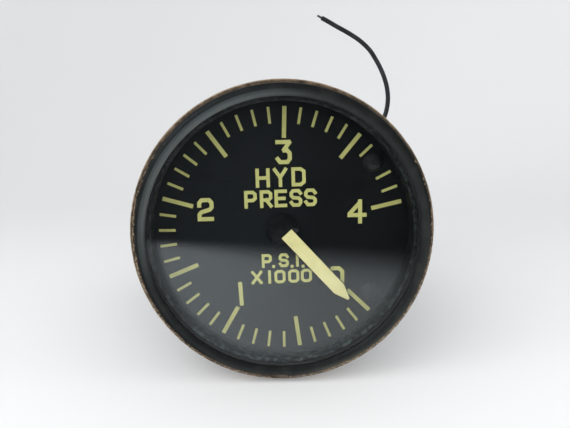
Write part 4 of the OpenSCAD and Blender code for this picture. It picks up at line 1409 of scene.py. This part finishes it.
def ringOnGlass(x, y, values):
    # the ring's mask: each point of the table is moved to where the eye sees it mirrored in the glass
    away = (0 - y - values["front"]) / values["eyeAway"]
    seenX = (x - away * values["eyeLeft"]) / (away + 1)
    seenZ = (away * values["eyeRise"] - values["eyeDrop"]) / (away + 1)
    seenRadius = (seenX * seenX + seenZ * seenZ) ** 0.5
    ring = seenRadius.above(*values["ringInner"]) * (1 - seenRadius.above(*values["ringOuter"]))
    return ring * values["ringShade"]


def tableLight(values, glassView):
    # x and y are millimetres on the table, and each mask is 1 inside its field
    f = Finish("table_light")
    x = f.x / mm
    y = f.y / mm
    slanted = x + y * values["viewSlope"]
    fade = (values["fadeAt"] + x * values["fadeSlope"]).most(values["fadeLeast"])
    far = ((values["edgeAt"] + x * values["edgeSlope"] - y) / fade).above(0, 1)
    seen = 1 - (slanted - values["viewAt"]).above(0, values["viewBlend"])
    left = (y * values["leftSlope"] + values["leftAt"] - x).above(0, values["leftBlend"])
    right = x.above(values["rightFrom"], values["rightTo"])
    right = right * y.above(values["rightBack"], values["rightBack"] + values["rightBlend"])

    lit = f.blended(x.above(values["brightTo"], values["softFrom"]), values["bright"], values["soft"])
    lit = f.blended(f.grain(*values["mottle"]) * values["mottleShare"], lit, values["soft"])
    beyond = slanted.above(values["sheenFrom"] - values["sheenBlend"], values["sheenFrom"])
    within = 1 - x.above(values["sheenTo"], values["sheenTo"] + values["sheenEnd"])
    within = within * (1 - y.above(values["sheenBack"] - values["sheenFade"], values["sheenBack"]))
    lit = f.blended(beyond, lit, dimmed(values["soft"], values["beyondDim"]))
    lit = f.blended(beyond * within, lit, values["sheen"])
    lit = f.blended(ringOnGlass(x, y, glassView), lit, values["dark"])
    strip = y.above(values["stripFrom"], values["stripTo"])
    strip = strip * x.above(*values["stripLeft"]) * (1 - x.above(*values["stripRight"]))
    lit = f.blended(strip, lit, values["strip"])
    unlit = f.blended(x.above(values["glowTo"], values["darkFrom"]), values["glow"], values["dark"])

    light = f.add("ShaderNodeBsdfPrincipled", {}, {
        "Base Color": asColour((0, 0, 0)),
        "Emission Color": f.blended((far * seen).most(left).most(right), lit, unlit),
        "Emission Strength": values["level"],
    })
    clear = f.add("ShaderNodeBsdfTransparent")
    gap = y.above(values["gapFrom"], values["gapTo"]) * (1 - x.above(*values["gapRight"])) * (1 - left)
    under = y.above(values["underFrom"], values["underTo"]) * (1 - x.size().above(*values["underSide"]))
    return f.mixed(1 - gap.most(under), clear, light)


def addCards(values, window, table, floor):
    black = cardBlack(values, table)
    card("window", window["corners"], windowLight(window))
    for name in ("wall", "ceiling", "right", "left"):
        card("dark_" + name, values[name], black)
    corners = []
    for side, y in ((-1, table["front"]), (1, table["front"]), (1, table["back"]), (-1, table["back"])):
        corners.append((side * table["half"], y, floorHeightAt(y, floor) + table["lift"]))
    card("table_reflection", corners, tableLight(table, glassViewValues))


addFloor(floorValues)
addWorld(worldValues)
addCards(cardValues, windowValues, tableValues, floorValues)
for name, values in lampValues.items():
    addLamp(name, values)
bpy.context.scene.view_settings.view_transform = "Standard"
print("studio made")
